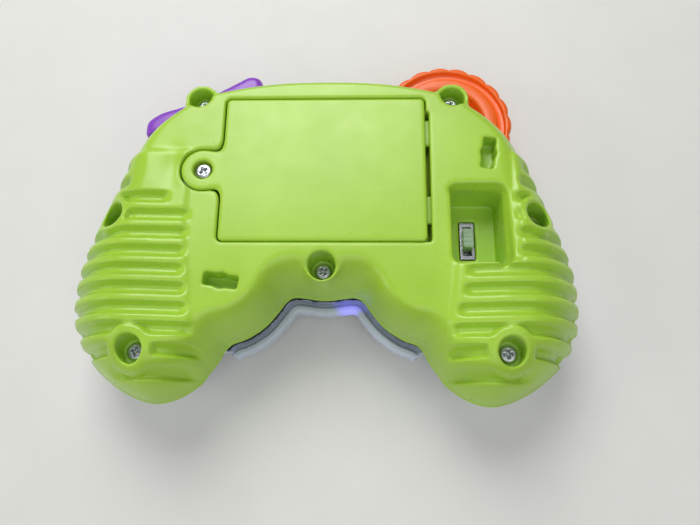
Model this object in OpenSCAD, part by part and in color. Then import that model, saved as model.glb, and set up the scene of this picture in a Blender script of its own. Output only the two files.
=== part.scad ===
// Toy game controller, lying on its front with its back up.
// +Z points out of the back, +X to the side with the slide switch, -Y to the ends of the two grips.
// The origin is on the surface it lies on, under the middle of its outline.

/* [Case] */
// Height of the plane where the two halves of the case meet
split_z = 20; // [19.5:0.1:20]
// Height of the flat back plate
plate_z = 40; // [39.8:0.1:40.4]
// Height of the front face over the surface the controller lies on
face_z = 7; // [6.6:0.1:7]
// Wall thickness of both halves
wall = 2.2; // [1.8:0.1:2.2]
// How far the white rim stands out of the green half at the waist
rim_out = 3.3; // [2:0.1:3.5]

/* [Grips] */
// Distance between two grip ribs
rib_pitch = 5.75; // [5.6:0.05:5.9]
// Width of one grip rib
rib_w = 3.4; // [2.6:0.1:3.8]
// Height of a rib over the surface between the ribs
rib_h = 1.6; // [1:0.1:1.6]
// Height of the grips over the back plate
grip_rise = 2.4; // [1:0.1:3]

/* [Battery door] */
// Length of the door plate
door_l = 62; // [61:0.1:62.2]
// Width of the door plate
door_w = 47; // [46:0.1:47.2]
// Thickness of the door plate
door_t = 2; // [1.6:0.1:2]
// Diameter of a cell
cell_d = 14.4; // [13.5:0.1:14.5]
// Length of a cell with its nub
cell_l = 50.2; // [49.5:0.1:50.5]

/* [Switch] */
// Size of the switch well across the controller
well_w = 15.4; // [14:0.1:15.6]
// Size of the switch well along the controller
well_l = 23.4; // [22:0.1:23.6]
// Height of the floor of the switch well
well_z = 25; // [24.6:0.1:25.4]
// Length of the slide switch's knob
knob_l = 6.2; // [5:0.1:6.4]

/* [Controls] */
// Radius over the lobes of the click wheel
wheel_r = 22.5; // [21:0.1:22.6]
// Number of lobes of the click wheel
wheel_lobes = 19; // [12:1:24]
// Radius of the inside of the click wheel's thick rim
rim_r = 13; // [11:0.1:14]
// Radius of a round button
button_r = 5.5; // [4.5:0.1:5.8]
// Travel of a round button
button_travel = 2; // [1:0.1:2]
// Radius of the direction pad over its arms
dpad_r = 13; // [11:0.1:13]
// Radius of the stick's cap
stick_r = 7; // [6:0.1:7]
// Radius of the light dome
dome_r = 8; // [6:0.1:8]

/* [Hidden] */
$fn = 48;

// Middle of the battery door
door_y = 10.2;
// Outline of the back half where it meets the front half, from the middle of the top edge round the
// right side and the tip of the right grip to the middle of the waist. Each point is x, y and the
// width over which the edge is rounded there.
half_outline = [
    [0, 43.7, 5], [15, 43.2, 5], [28, 41.4, 5], [40, 38.2, 5], [50, 33, 6.5], [57.5, 26.8, 8],
    [62.6, 19.4, 10], [65.8, 10.7, 13], [69.1, 1.7, 15], [72.9, -8.3, 17], [75.8, -18.3, 18],
    [76.6, -27.3, 18], [75.7, -36.3, 18], [71.6, -44.3, 17], [64.3, -51.3, 16], [57, -56, 15], [50.5, -58, 14],
    [44, -56.6, 13], [37.5, -52.2, 12], [33, -47, 11], [31, -43.3, 10], [29, -40.6, 9], [24, -38.6, 8],
    [18.6, -34.8, 8], [14.6, -30, 8], [12.3, -26.9, 9], [9, -25.4, 11], [0, -26.4, 12]];
tip_i = 16;
waist_i = 27;
// The waist runs from this point of the outline to its end
waist_start = 20;
steps = 2;
// How far each ring of the rounded edge has come in, as a share of the rounded width
ring_steps = [0, 0.06, 0.18, 0.36, 0.62, 1];

// Corners of the screw pattern: x, y, seat of the head, lowest end of the tube in the back half
screw_spots = [[-40, 35.4, 31, 29.7], [40, 35.4, 31, 21.6], [-64.3, -4.1, 25.6, 20.2],
    [64.3, -4.1, 25.6, 20.2], [-53.2, -45.4, 34, 20.2], [53.2, -45.4, 34, 20.2], [0, -20.3, 30, 20.2]];
recess_r = 3.8;
boss_r = 3.6;
tube_r = 5.2;
// Top of the two screw tubes that stand out of the top edge
ear_top = 37;
screw_hole_r = 1.5;
shank_r = 1.3;
head_r = 2.35;
head_h = 1.6;
seat_t = 2;

ear = [-37, 9.6];
ear_r = 6.6;
hinge = [31.9, 38.6];
tab_y = 12.8;
tab_w = 9;
pocket_z = 32.4;
bay_l = 57.2;
bay_w = 45;
bay_z = 23;
tray_z = 21.5;
cell_pitch = 15;
cell_z = 30.4;

well = [46, -8];
switch_at = [44.7, -8.3];
slot_r = [50, 15];
slot_l = [-29, -25.3];
slot_len = 10.2;
slot_w = 3.8;
slot_lean = 8.4;
slot_depth = 6;
slot_wall = 1.2;

wheel_at = [40, 35.4];
wheel_z = 14;
wheel_t = 7;
pivot = [-40, 35.4];
rocker_z = 14;
rocker_t = 15;

side_switch_spots = [[-49.6, 25.6], [-25.6, 36.6]];
side_switch_lean = 28;

board_z = 15.05;
board_t = 1.55;
board_post_r = 2.2;
button_mid = [-42, -1];
button_off = 10;
dpad_at = [42, -2];
dpad_ball_z = 12;
stick_at = [-17, -6];
stick_z = 13;
lamp_at = [17, -8];
speaker_at = [0, 24];
speaker_r = 12;
board_spots = [[-55, 8], [55, 8], [-30, -12.5], [30, -12.5]];
grip_pad = [52, -35];
pad_r = 8;

// A smooth curve through four points in a row, between the second and the third
function along(a, b, c, d, t) = 0.5 * (2 * b + (c - a) * t + (2 * a - 5 * b + 4 * c - d) * t * t
    + (3 * b - a - 3 * c + d) * t * t * t);
function mirrored(p) = [-p[0], p[1], p[2]];
// The whole outline: the right half, then the left half on the way back
controls = concat(half_outline, [for (i = [waist_i - 1 : -1 : 1]) mirrored(half_outline[i])]);
control_n = len(controls);
function control(i) = controls[(i + control_n) % control_n];
outline = [for (i = [0 : control_n - 1]) for (s = [0 : steps - 1])
    along(control(i - 1), control(i), control(i + 1), control(i + 2), s / steps)];
n = len(outline);
K = (2 * tip_i - waist_i) * steps;
T = tip_i * steps;
M = waist_i * steps;
function spot(i) = outline[(i + n) % n];
function across(i) = let (d = spot(i + 1) - spot(i - 1)) [-d[1], d[0]] / norm([d[0], d[1]]);
// 1 along the waist and 0 elsewhere, with a short run between
function at_waist(i) = let (j = i <= n / 2 ? i : n - i) min(1, max(0, j / steps - waist_start));
// How much higher the grips are than the back plate at a point
function rise(x, y) = grip_rise * exp(-pow((abs(x) - 54) / 13, 2) - pow((y + 34) / 24, 2));

// Faces between the rings, and strips across the two end rings. Strips run from side to side down to
// the waist, then across each grip.
function flipped(f) = [for (k = [len(f) - 1 : -1 : 0]) f[k]];
function other_side(f) = [for (k = [len(f) - 1 : -1 : 0]) (n - f[k]) % n];
grip_strips = concat([for (i = [K : T - 2]) [2 * T - i, i, i + 1, 2 * T - i - 1]], [[T + 1, T - 1, T]]);
body_strips = concat([[0, 1, n - 1], [K, M, n - K]], [for (i = [1 : K - 1]) [i, i + 1, n - i - 1, n - i]]);
strips = concat(body_strips, grip_strips, [for (f = grip_strips) other_side(f)]);
function cap(first, up) = [for (f = strips) [for (k = up ? f : flipped(f)) first + k]];
function sides(rings) = [for (k = [0 : rings - 2]) for (i = [0 : n - 1])
    let (j = (i + 1) % n) [k * n + i, k * n + j, (k + 1) * n + j, (k + 1) * n + i]];

// A closed body from base_z to the end at end_z with its edge rounded. inset moves it all inwards, rim
// moves the waist outwards, width scales the rounded edge and bulge the height of the grips.
module rounded_body(base_z, end_z, inset, rim, width, bulge) {
    up = end_z > base_z;
    points = [for (t = ring_steps) for (i = [0 : n - 1]) let (
        p = spot(i),
        a = across(i),
        out = rim * at_waist(i) - inset - (width * p[2] - 0.6 * inset) * t,
        x = p[0] + a[0] * out,
        y = p[1] + a[1] * out,
        z = base_z + (end_z + bulge * rise(x, y) - base_z) * pow(1 - (1 - t) * (1 - t), 0.62))
        [x, y, z]];
    rings = len(ring_steps);
    faces = concat(sides(rings), cap(0, false), cap((rings - 1) * n, true));
    polyhedron(points, up ? faces : [for (f = faces) flipped(f)]);
}

// A plate with the outline of the battery door and its screw ear, grown by g on its edges
module door_plate(g, t) {
    fillet = 5;
    neck = 9;
    linear_extrude(t) difference() {
        union() {
            translate([-door_l / 2 - g, door_y - door_w / 2 - g]) square([door_l + 2 * g, door_w + 2 * g]);
            translate(ear) circle(ear_r + g);
            translate([-door_l / 2 - 5, ear[1] - neck]) square([5, 2 * neck]);
        }
        for (s = [-1, 1]) translate([-door_l / 2 - 5.4, ear[1] + s * (neck + 1.4)]) circle(fillet - g);
    }
}

// Tubes of the back half that hold the screw heads, clipped by the case they are carved from
module back_tubes() {
    for (s = screw_spots) translate([s[0], s[1], s[3]]) cylinder(r = tube_r, h = plate_z + 6 - s[3]);
}

module back_tube_bores() {
    for (s = screw_spots) translate([s[0], s[1], 0]) {
        translate([0, 0, s[2]]) cylinder(r = recess_r, h = 20);
        translate([0, 0, s[2] - 5]) cylinder(r = screw_hole_r, h = 10);
        translate([0, 0, split_z - 5]) cylinder(r = boss_r + 0.3, h = s[2] - seat_t - split_z + 5);
    }
}

// One rib across a grip: a slice that follows the rounded edge and the top of the grip
function side_at(y) = let (
    side = [for (i = [6 * steps : T]) outline[i]],
    k = [for (k = [0 : len(side) - 2]) if (side[k][1] >= y && side[k + 1][1] < y) k][0],
    a = side[k],
    b = side[k + 1])
    a + (b - a) * (a[1] - y) / (a[1] - b[1]);
module rib(y, inner_x) {
    p = side_at(y);
    edge = [for (t = ring_steps) let (
        x = p[0] + 0.3 + (rib_h - 0.3) * min(1, 5 * t) - p[2] * t,
        z = split_z + (plate_z + rise(x, y) - split_z) * pow(1 - (1 - t) * (1 - t), 0.62))
        [x, z + 0.4 + (rib_h - 0.4) * t]];
    top = plate_z + rise(inner_x + 6, y) + rib_h;
    translate([0, y + rib_w / 2, 0]) rotate([90, 0, 0]) linear_extrude(rib_w)
        polygon(concat(edge, [[inner_x + 4, top - 0.5], [inner_x, plate_z - 1], [inner_x + 4, plate_z - 4],
        [p[0] - 16, split_z + 6], [p[0] - 2, split_z + 0.4]]));
}

// ---- Case ----

module well_block() {
    translate([well[0] - well_w / 2 - 1.8, well[1] - well_l / 2 - 1.8, well_z - 2])
        cube([well_w + 3.6, well_l + 3.6, 20]);
}

module tray_block() {
    translate([-bay_l / 2 - 1.6, door_y - bay_w / 2 - 1.6, tray_z])
        cube([bay_l + 3.2, bay_w + 3.2, 20]);
}

module tie_slot(at, lean) {
    translate([at[0], at[1], plate_z - slot_depth]) rotate([0, 0, lean]) {
        translate([-slot_w / 2, -slot_len / 2, 0]) cube([slot_w, slot_len, 12]);
        cylinder(r = slot_w / 2 + 0.6, h = 12);
    }
}

// The closed pocket that a tie slot ends in
module tie_block(at, lean) {
    w = slot_w + 2 * slot_wall + 1;
    l = slot_len + 2 * slot_wall;
    translate([at[0], at[1], plate_z - slot_depth - slot_wall]) rotate([0, 0, lean])
        translate([-w / 2, -l / 2, 0]) cube([w, l, 2 * slot_depth]);
}

// Room for the rocker in the wall of either half
module rocker_room(z, h) {
    translate([0, 0, z]) linear_extrude(h) polygon([[-64, 22], [-67, 34], [-50, 46], [-24, 56], [-16, 50],
        [-18.5, 38.6], [-30, 34], [-48, 27], [-57, 21]]);
}

module wheel_room(z, h) {
    translate([wheel_at[0], wheel_at[1], z]) cylinder(r = wheel_r + 0.7, h = h);
}

// The outside of the back half with its ribs and the two screw tubes that stand out of its top edge
module back_outside() {
    rounded_body(split_z, plate_z, 0, 0, 1, 1);
    for (i = [3 : 8]) for (s = [0, 1]) mirror([s, 0, 0]) rib(3.3 - i * rib_pitch, i < 5 ? 53 : 43);
    for (k = [0, 1]) translate([screw_spots[k][0], screw_spots[k][1], screw_spots[k][3] - 0.3])
        cylinder(r = tube_r + 0.2, h = ear_top - screw_spots[k][3] + 0.3);
}

// The room inside it, round the screw tubes, the battery tray and the switch well
module back_inside() {
    difference() {
        rounded_body(split_z - 1, plate_z - wall, wall, 0, 1, 1);
        back_tubes();
        tray_block();
        well_block();
        tie_block(slot_r, -slot_lean);
        tie_block(slot_l, 90 - slot_lean);
        translate([ear[0], ear[1], 27]) cylinder(r = 5.6, h = 14);
    }
}

module back_shell() {
    color("yellowgreen") difference() {
        // resize by nothing keeps the doubly curved skin as one mesh
        resize([0, 0, 0]) difference() {
            back_outside();
            back_inside();
        }
        // battery bay and the recess of its door
        translate([-bay_l / 2, door_y - bay_w / 2, bay_z]) cube([bay_l, bay_w, 20]);
        translate([0, 0, plate_z - door_t]) door_plate(0.3, 5);
        translate([door_l / 2 - 1, door_y - door_w / 2 - 0.3, plate_z - door_t]) cube([2, door_w + 0.6, 5]);
        for (s = [-1, 1]) translate([bay_l / 2 - 1, door_y + s * tab_y - tab_w / 2 - 0.5, pocket_z]) {
            cube([7, tab_w + 1, plate_z - wall - pocket_z]);
            cube([3.4, tab_w + 1, plate_z - pocket_z]);
        }
        translate([ear[0], ear[1], 35]) cylinder(r = 4.1, h = 10);
        translate([ear[0], ear[1], 28.4]) cylinder(r = 1.9, h = 10);
        // switch well and the opening in its floor
        translate([well[0] - well_w / 2, well[1] - well_l / 2, well_z]) cube([well_w, well_l, 20]);
        translate([switch_at[0] - 2.5, switch_at[1] - 6.4, well_z - 4]) cube([5, 12.8, 8]);
        tie_slot(slot_r, -slot_lean);
        tie_slot(slot_l, 90 - slot_lean);
        back_tube_bores();
        wheel_room(split_z - 2, 3.4);
        rocker_room(split_z - 2, rocker_z + rocker_t + 0.6 - split_z + 2);
    }
}

// Screw posts, from the front face up to the plane a
module front_posts(from, a) {
    for (s = screw_spots) translate([s[0], s[1], from])
        cylinder(r = boss_r, h = min(a, s[2] - seat_t - 0.3) - from);
}

module front_shell() {
    speaker_well = speaker_r + 0.3;
    color("lavender") difference() {
        union() {
            // resize by nothing keeps the doubly curved skin as one mesh
            resize([0, 0, 0]) difference() {
                union() {
                    rounded_body(split_z, face_z, 0.5, rim_out + 0.5, 0.6, 0);
                    for (s = [-1, 1]) translate([s * grip_pad[0], grip_pad[1], 0])
                        cylinder(r1 = pad_r, r2 = 15.5, h = 9);
                    translate([speaker_at[0], speaker_at[1], 0]) cylinder(r1 = 13.4, r2 = 14.6, h = 8);
                }
                difference() {
                    rounded_body(split_z + 1, face_z + wall, wall + 0.5, rim_out + 0.5, 0.6, 0);
                    front_posts(face_z + 1, split_z + 5);
                }
                for (s = [-1, 1]) translate([s * grip_pad[0], grip_pad[1], wall]) difference() {
                    cylinder(r1 = pad_r - 0.6, r2 = 14.5, h = 9);
                    translate([1.2 * s, -10.4, -1]) cylinder(r = boss_r, h = 20);
                }
                translate([speaker_at[0], speaker_at[1], wall]) cylinder(r = speaker_well, h = 12);
            }
            front_posts(16, 60);
            for (s = board_spots) translate([s[0], s[1], face_z + 1])
                cylinder(r = board_post_r, h = board_z - face_z - 1.02);
            for (k = [0, 1]) translate([screw_spots[k][0], screw_spots[k][1], face_z + 2])
                cylinder(r = tube_r, h = wheel_z - face_z - 2.6);
            // blocks that carry the rocker's two switches
            for (s = side_switch_spots) translate([s[0], s[1], face_z + 1]) rotate([0, 0, side_switch_lean])
                translate([-2.8, -3.5, 0]) cube([5.6, 3.2, rocker_z + 1.45 - face_z - 1]);
        }
        for (s = screw_spots) translate([s[0], s[1], s[2] - 12]) cylinder(r = screw_hole_r, h = 20);
        for (s = board_spots) translate([s[0], s[1], 10]) cylinder(r = 0.8, h = 10);
        // the wheel's and the rocker's room in the wall
        translate([wheel_at[0], wheel_at[1], wheel_z - 0.5]) difference() {
            cylinder(r = wheel_r + 0.7, h = 10);
            translate([0, 0, -1]) cylinder(r = boss_r, h = 20);
        }
        difference() {
            rocker_room(rocker_z - 0.6, 10);
            translate([pivot[0], pivot[1], 0]) cylinder(r = boss_r, h = 40);
            for (s = side_switch_spots) translate([s[0], s[1], 0]) rotate([0, 0, side_switch_lean])
                translate([-2.8, -3.5, 0]) cube([5.6, 3.2, 40]);
        }
        // openings of the controls
        for (i = [0 : 3]) translate([button_at(i)[0], button_at(i)[1], -1])
            cylinder(r = button_r + 0.3, h = 20);
        translate([dpad_at[0], dpad_at[1], -1]) linear_extrude(14) cross(dpad_r + 0.9, 9.8);
        translate([stick_at[0], stick_at[1], -1]) cylinder(r = 4.8, h = 14);
        translate([lamp_at[0], lamp_at[1], -1]) cylinder(r = dome_r + 0.2, h = 14);
        // sound holes in rings
        for (k = [1 : 3]) for (i = [0 : 6 * k - 1]) translate([speaker_at[0], speaker_at[1], -1])
            rotate([0, 0, 60 * i / k]) translate([3 * k, 0, 0]) cylinder(r = 0.9, h = 5);
    }
}

module battery_door() {
    color("yellowgreen") difference() {
        union() {
            translate([0, 0, plate_z - door_t]) door_plate(0, door_t);
            translate([ear[0], ear[1], 35.6]) cylinder(r = 3.6, h = 3);
            for (s = [-1, 1]) translate([0, door_y + s * tab_y - tab_w / 2, 0]) {
                translate([29, 0, 35.7]) cube([4.6, tab_w, 1.6]);
                translate([29, 0, 35.7]) cube([1.6, tab_w, 3]);
            }
        }
        translate([ear[0], ear[1], 37.2]) cylinder(r = 2.9, h = 5);
        translate([ear[0], ear[1], 30]) cylinder(r = 1.6, h = 12);
    }
}

// A pan-head screw with a cross recess, head on the plane z = 0 and shank down
module screw(r, h, shank, l) {
    difference() {
        union() {
            cylinder(r1 = r, r2 = 0.7 * r, h = h);
            translate([0, 0, -l]) cylinder(r = shank, h = l + 0.2);
            translate([0, 0, -l - 0.8]) cylinder(r1 = 0.3, r2 = shank, h = 0.8);
        }
        for (a = [0, 90]) rotate([0, 0, a]) translate([-0.62 * r, -0.18 * r, h - 0.8])
            cube([1.24 * r, 0.36 * r, 2]);
    }
}

module door_screw() {
    color("silver") translate([ear[0], ear[1], 37.25]) screw(head_r, head_h, shank_r, 5.2);
}

module housing_screws() {
    color("silver") for (s = screw_spots) translate([s[0], s[1], s[2]]) screw(head_r, head_h, shank_r, 9);
}

// ---- Wheel and rocker ----

module click_wheel() {
    lobe_r = 3.7;
    color("darkorange") translate([wheel_at[0], wheel_at[1], wheel_z]) difference() {
        linear_extrude(wheel_t) {
            circle(wheel_r - 0.7);
            for (i = [0 : wheel_lobes - 1]) rotate([0, 0, 360 * i / wheel_lobes])
                translate([wheel_r - lobe_r, 0, 0]) circle(lobe_r);
        }
        translate([0, 0, -1]) cylinder(r = boss_r + 0.08, h = wheel_t + 2);
        // shallow groove in the rim, and the thin web between the rim and the hub
        translate([0, 0, wheel_t - 1.6]) difference() {
            cylinder(r = 0.93 * wheel_r - 0.7, h = 3);
            translate([0, 0, -1]) cylinder(r = 0.77 * wheel_r, h = 5);
        }
        translate([0, 0, 2.5]) difference() {
            cylinder(r = rim_r, h = wheel_t);
            translate([0, 0, -1]) cylinder(r = boss_r + 2.2, h = wheel_t + 2);
        }
    }
}

module wheel_clicker() {
    color("silver") translate([16.8, 32, 9.25]) {
        cube([0.4, 7, 9]);
        translate([-1.8, -1.6, 0]) cube([2.2, 1.6, 11]);
    }
}

module rocker() {
    color("mediumpurple") translate([0, 0, rocker_z]) difference() {
        linear_extrude(rocker_t) polygon([[-60.2, 27.6], [-61, 30.4], [-60.2, 33.4], [-56, 36.4],
            [-49.5, 38.6], [-43.5, 40.9], [-38.3, 43.6], [-31.1, 47.8], [-27.4, 49.9], [-24.2, 49.6],
            [-22.6, 47.6], [-22.2, 42.9], [-29, 39.9], [-34.6, 36.6], [-36.6, 31.2], [-42, 30.2],
            [-48, 30.4], [-55, 27.2]]);
        translate([pivot[0], pivot[1], -1]) cylinder(r = boss_r + 0.08, h = rocker_t + 2);
    }
}

module side_switches() {
    for (s = side_switch_spots) translate([s[0], s[1], rocker_z + 1.5])
        rotate([0, 0, side_switch_lean]) {
            color("dimgray") translate([-3, -3.6, 0]) cube([6, 3.4, 6]);
            color("black") translate([0, -0.3, 3]) rotate([-90, 0, 0]) cylinder(r = 1.6, h = 1);
        }
}

// ---- Slide switch ----

module switch_board() {
    color("darkgoldenrod") translate([switch_at[0] - 5, switch_at[1] - 9, 17.5]) cube([10, 18, 1.3]);
}

module switch_can() {
    color("silver") translate([switch_at[0], switch_at[1], 18.85]) difference() {
        translate([-2.2, -6, 0]) cube([4.4, 12, 5.8]);
        translate([-1.8, -5.6, 1.6]) cube([3.6, 11.2, 3.7]);
        translate([-1.4, -4.8, 3]) cube([2.8, 9.6, 5]);
    }
}

module switch_knob() {
    color("darkseagreen") translate([switch_at[0], switch_at[1], 0]) {
        translate([-1.6, -knob_l / 2 + 0.6, 20.8]) cube([3.2, knob_l - 1.2, 2.6]);
        translate([-1.2, -1.6, 23]) cube([2.4, 3.2, 3]);
        translate([-1.65, -knob_l / 2, 24.9]) cube([3.3, knob_l, 3.3]);
    }
}

// A wire carried along a list of points
function ring_at(p, a, b, r) = let (
    d = (b - a) / norm(b - a),
    u = cross3(d, abs(d[2]) < 0.9 ? [0, 0, 1] : [1, 0, 0]),
    v = cross3(d, u))
    [for (k = [0 : 7]) p + r * (cos(45 * k) * u + sin(45 * k) * v)];
function cross3(a, b) = let (c = cross(a, b)) c / norm(c);
module wire(route, r) {
    m = len(route);
    smooth = [for (i = [0 : m - 2]) for (t = [0 : 0.25 : 0.75])
        along(route[max(i - 1, 0)], route[i], route[i + 1], route[min(i + 2, m - 1)], t)];
    path = concat(smooth, [route[m - 1]]);
    c = len(path);
    points = [for (i = [0 : c - 1]) each ring_at(path[i], path[max(i - 1, 0)], path[min(i + 1, c - 1)], r)];
    walls = [for (i = [0 : c - 2]) for (k = [0 : 7]) let (q = (k + 1) % 8)
        [i * 8 + k, i * 8 + q, (i + 1) * 8 + q, (i + 1) * 8 + k]];
    ends = [[for (k = [7 : -1 : 0]) k], [for (k = [0 : 7]) (c - 1) * 8 + k]];
    polyhedron(points, concat(walls, ends));
}

module switch_lead() {
    color("black") for (s = [-1, 1])
        wire([[39.6, s - 14, 18.2], [37, s - 14, 19], [34, s - 12, 18.6], [33, s - 11, 17.2]], 0.6);
}

// ---- Power ----

module cell(i) {
    turn = i == 1 ? 180 : 0;
    translate([0, door_y + (i - 1) * cell_pitch, cell_z]) rotate([0, 90, turn]) {
        color("dimgray") translate([0, 0, -cell_l / 2 + 0.4]) cylinder(r = cell_d / 2, h = cell_l - 2.4);
        color("silver") translate([0, 0, -cell_l / 2]) cylinder(r = 4.6, h = 1);
        color("silver") translate([0, 0, cell_l / 2 - 2.2]) cylinder(r = 2.7, h = 1.4);
    }
}
module cell_1() { cell(0); }
module cell_2() { cell(1); }
module cell_3() { cell(2); }

module contact_springs() {
    color("silver") for (i = [0 : 2]) translate([0, door_y + (i - 1) * cell_pitch, cell_z])
        rotate([0, i == 1 ? 90 : -90, 0]) for (k = [0 : 3]) translate([0, 0, 25.55 + 0.68 * k])
            rotate_extrude() translate([2.4 + 0.35 * k, 0]) circle(r = 0.36);
}

module contact_plates() {
    color("silver") for (i = [0 : 2]) for (s = [-1, 1])
        translate([s * (bay_l / 2 - 0.3) - 0.2, door_y + (i - 1) * cell_pitch - 4.5, cell_z - 4.5])
            cube([0.4, 9, 9]);
}

module battery_lead_red() {
    color("red") wire([[-31.2, -4, 20.9], [-34, -6, 21], [-36, -9, 19.5], [-37, -11, 17.6]], 0.7);
}

module battery_lead_black() {
    color("black") wire([[-31.2, 22, 20.9], [-35, 19, 21], [-38, 13, 20], [-39, 9, 17.6]], 0.7);
}

// ---- Electronics ----

module circuit_board() {
    color("darkgreen") translate([0, 0, board_z]) linear_extrude(board_t) difference() {
        translate([-58, -15.6]) square([116, 26.6]);
        translate([stick_at[0] - 8.3, stick_at[1] - 8.3]) square([16.6, 16.6]);
        for (s = [-1, 1]) translate([s * 64.3, -4.1]) circle(r = tube_r + 0.4);
        translate([0, -20.3]) circle(r = tube_r + 0.4);
        for (s = board_spots) translate([s[0], s[1]]) circle(r = 1.2);
    }
}

module main_chip() {
    color("black") translate([5, 0, board_z + board_t]) cylinder(r1 = 4.6, r2 = 2.4, h = 1.4);
}

module board_parts() {
    translate([0, 0, board_z + board_t + 0.02]) {
        color("black") for (p = [[-4, -8], [-4, 6], [24, 4]]) translate([p[0], p[1], 0])
            cylinder(r = 2, h = 4);
        color("saddlebrown") for (i = [0 : 5]) translate([8 + 3 * i, -12, 0]) cube([1.6, 3, 0.8]);
        color("tan") for (i = [0 : 3]) translate([12, -6 + 2.6 * i, 0]) cube([3, 1.6, 0.8]);
    }
}

module board_screws() {
    color("silver") for (s = board_spots) translate([s[0], s[1], board_z + board_t + 0.02])
        screw(1.7, 1.2, 0.7, 5);
}

module keypad_membrane() {
    color("whitesmoke") {
        difference() {
            translate([button_mid[0] - 14.6, button_mid[1] - 14, 14.4]) cube([29.6, 24.7, 0.6]);
            for (s = board_spots) translate([s[0], s[1], 10]) cylinder(r = board_post_r + 0.4, h = 10);
        }
        for (i = [0 : 3]) translate([button_at(i)[0], button_at(i)[1], 13.8])
            cylinder(r1 = 3, r2 = 4.4, h = 0.7);
        translate([dpad_at[0], dpad_at[1], 14.4]) difference() {
            cylinder(r = 12.4, h = 0.6);
            translate([0, 0, -1]) cylinder(r = 2.6, h = 3);
        }
        for (a = [0 : 90 : 270]) translate([dpad_at[0], dpad_at[1], 13.8]) rotate([0, 0, a])
            translate([9, 0, 0]) cylinder(r1 = 2, r2 = 3, h = 0.7);
    }
}

module lamp_led() {
    color("blueviolet") translate([lamp_at[0], lamp_at[1], 0]) {
        translate([0, 0, 11.5]) cylinder(r = 2.5, h = 2.6);
        translate([0, 0, 14]) cylinder(r = 2.9, h = 1);
        translate([0, 0, 11.5]) sphere(r = 2.5);
    }
}

module light_dome() {
    color("thistle") translate([lamp_at[0], lamp_at[1], 0]) difference() {
        union() {
            translate([0, 0, 6]) cylinder(r = dome_r, h = 4);
            translate([0, 0, 6]) intersection() {
                translate([0, 0, 4]) sphere(r = dome_r + 0.4);
                translate([0, 0, -4]) cylinder(r = dome_r, h = 6);
            }
            translate([0, 0, face_z + wall + 0.05]) cylinder(r = dome_r + 1, h = 1.2);
        }
        translate([0, 0, 10.6]) sphere(r = dome_r - 1.2);
    }
}

module speaker_basket() {
    color("gray") translate([speaker_at[0], speaker_at[1], 0]) rotate_extrude()
        polygon([[speaker_r - 2, 2.6], [speaker_r, 2.6], [speaker_r, 4.2], [7, 8.2], [7, 9.2], [4, 9.2],
            [4, 8], [6.4, 7.6], [speaker_r - 2, 4]]);
}

module speaker_cone() {
    color("dimgray") translate([speaker_at[0], speaker_at[1], 0]) rotate_extrude()
        polygon([[0, 6.2], [2.4, 5.8], [speaker_r - 2.2, 3], [speaker_r - 2.2, 3.5], [2.4, 6.4], [0, 6.8]]);
}

module speaker_magnet() {
    color("silver") translate([speaker_at[0], speaker_at[1], 9.25]) cylinder(r = 6, h = 4.4);
}

module speaker_lead() {
    color("black") for (s = [-1, 1])
        wire([[s * 6.6, 21, 12], [s * 6.6, 17, 13.5], [s * 5.6, 13.5, 16.5], [s * 5, 10, 17.2]], 0.6);
}

// ---- Front controls ----

function button_at(i) = [button_mid[0] + button_off * cos(90 * i), button_mid[1] + button_off * sin(90 * i)];

module button(i) {
    translate([button_at(i)[0], button_at(i)[1], 0]) {
        translate([0, 0, 3]) cylinder(r1 = button_r - 0.8, r2 = button_r, h = 0.8);
        translate([0, 0, 3.79]) cylinder(r = button_r, h = 6.4);
        translate([0, 0, 9.7]) cylinder(r = button_r + 1, h = 1);
        translate([0, 0, 10.6]) cylinder(r = 2.6, h = 13.8 - button_travel - 10.6);
    }
}
module button_1() { color("gold") button(0); }
module button_2() { color("tomato") button(1); }
module button_3() { color("deepskyblue") button(2); }
module button_4() { color("limegreen") button(3); }

module cross(r, w) {
    translate([-r, -w / 2]) square([2 * r, w]);
    translate([-w / 2, -r]) square([w, 2 * r]);
}

module dpad() {
    color("royalblue") translate([dpad_at[0], dpad_at[1], 0]) difference() {
        union() {
            translate([0, 0, 3.2]) linear_extrude(7.2) cross(dpad_r - 1, 8);
            translate([0, 0, 10.3]) cylinder(r = dpad_r - 1.2, h = 1.2);
            translate([0, 0, 11.4]) cylinder(r = 3.2, h = 1.2);
        }
        translate([0, 0, dpad_ball_z]) sphere(r = 2.05);
    }
}

module dpad_pivot() {
    color("silver") translate([dpad_at[0], dpad_at[1], dpad_ball_z]) sphere(r = 1.95);
}

module dpad_post() {
    color("ivory") translate([dpad_at[0], dpad_at[1], 14.05]) cylinder(r = 1.4, h = 0.95);
}

module stick_cap() {
    color("slateblue") translate([stick_at[0], stick_at[1], 2.2]) difference() {
        union() {
            cylinder(r1 = stick_r - 0.8, r2 = stick_r, h = 0.8);
            translate([0, 0, 0.79]) cylinder(r = stick_r, h = 1.4);
        }
        translate([0, 0, -9.4]) sphere(r = 10);
    }
}

module stick_shaft() {
    color("ivory") translate([stick_at[0], stick_at[1], 4.4]) {
        cylinder(r = 2, h = stick_z - 4.4);
        translate([0, 0, stick_z - 4.4]) sphere(r = 2.2);
    }
}

module stick_gimbal() {
    color("ivory") translate([stick_at[0], stick_at[1], stick_z - 1]) difference() {
        cylinder(r = 4.4, h = 2);
        translate([0, 0, -1]) cylinder(r = 2.9, h = 4);
    }
}

module stick_base() {
    color("dimgray") translate([stick_at[0] - 8, stick_at[1] - 8, 10.2]) difference() {
        cube([16, 16, 7.4]);
        translate([1.3, 1.3, 1.1]) cube([13.4, 13.4, 5.2]);
        translate([8, 8, -1]) cylinder(r = 4.8, h = 4);
    }
}

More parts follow.
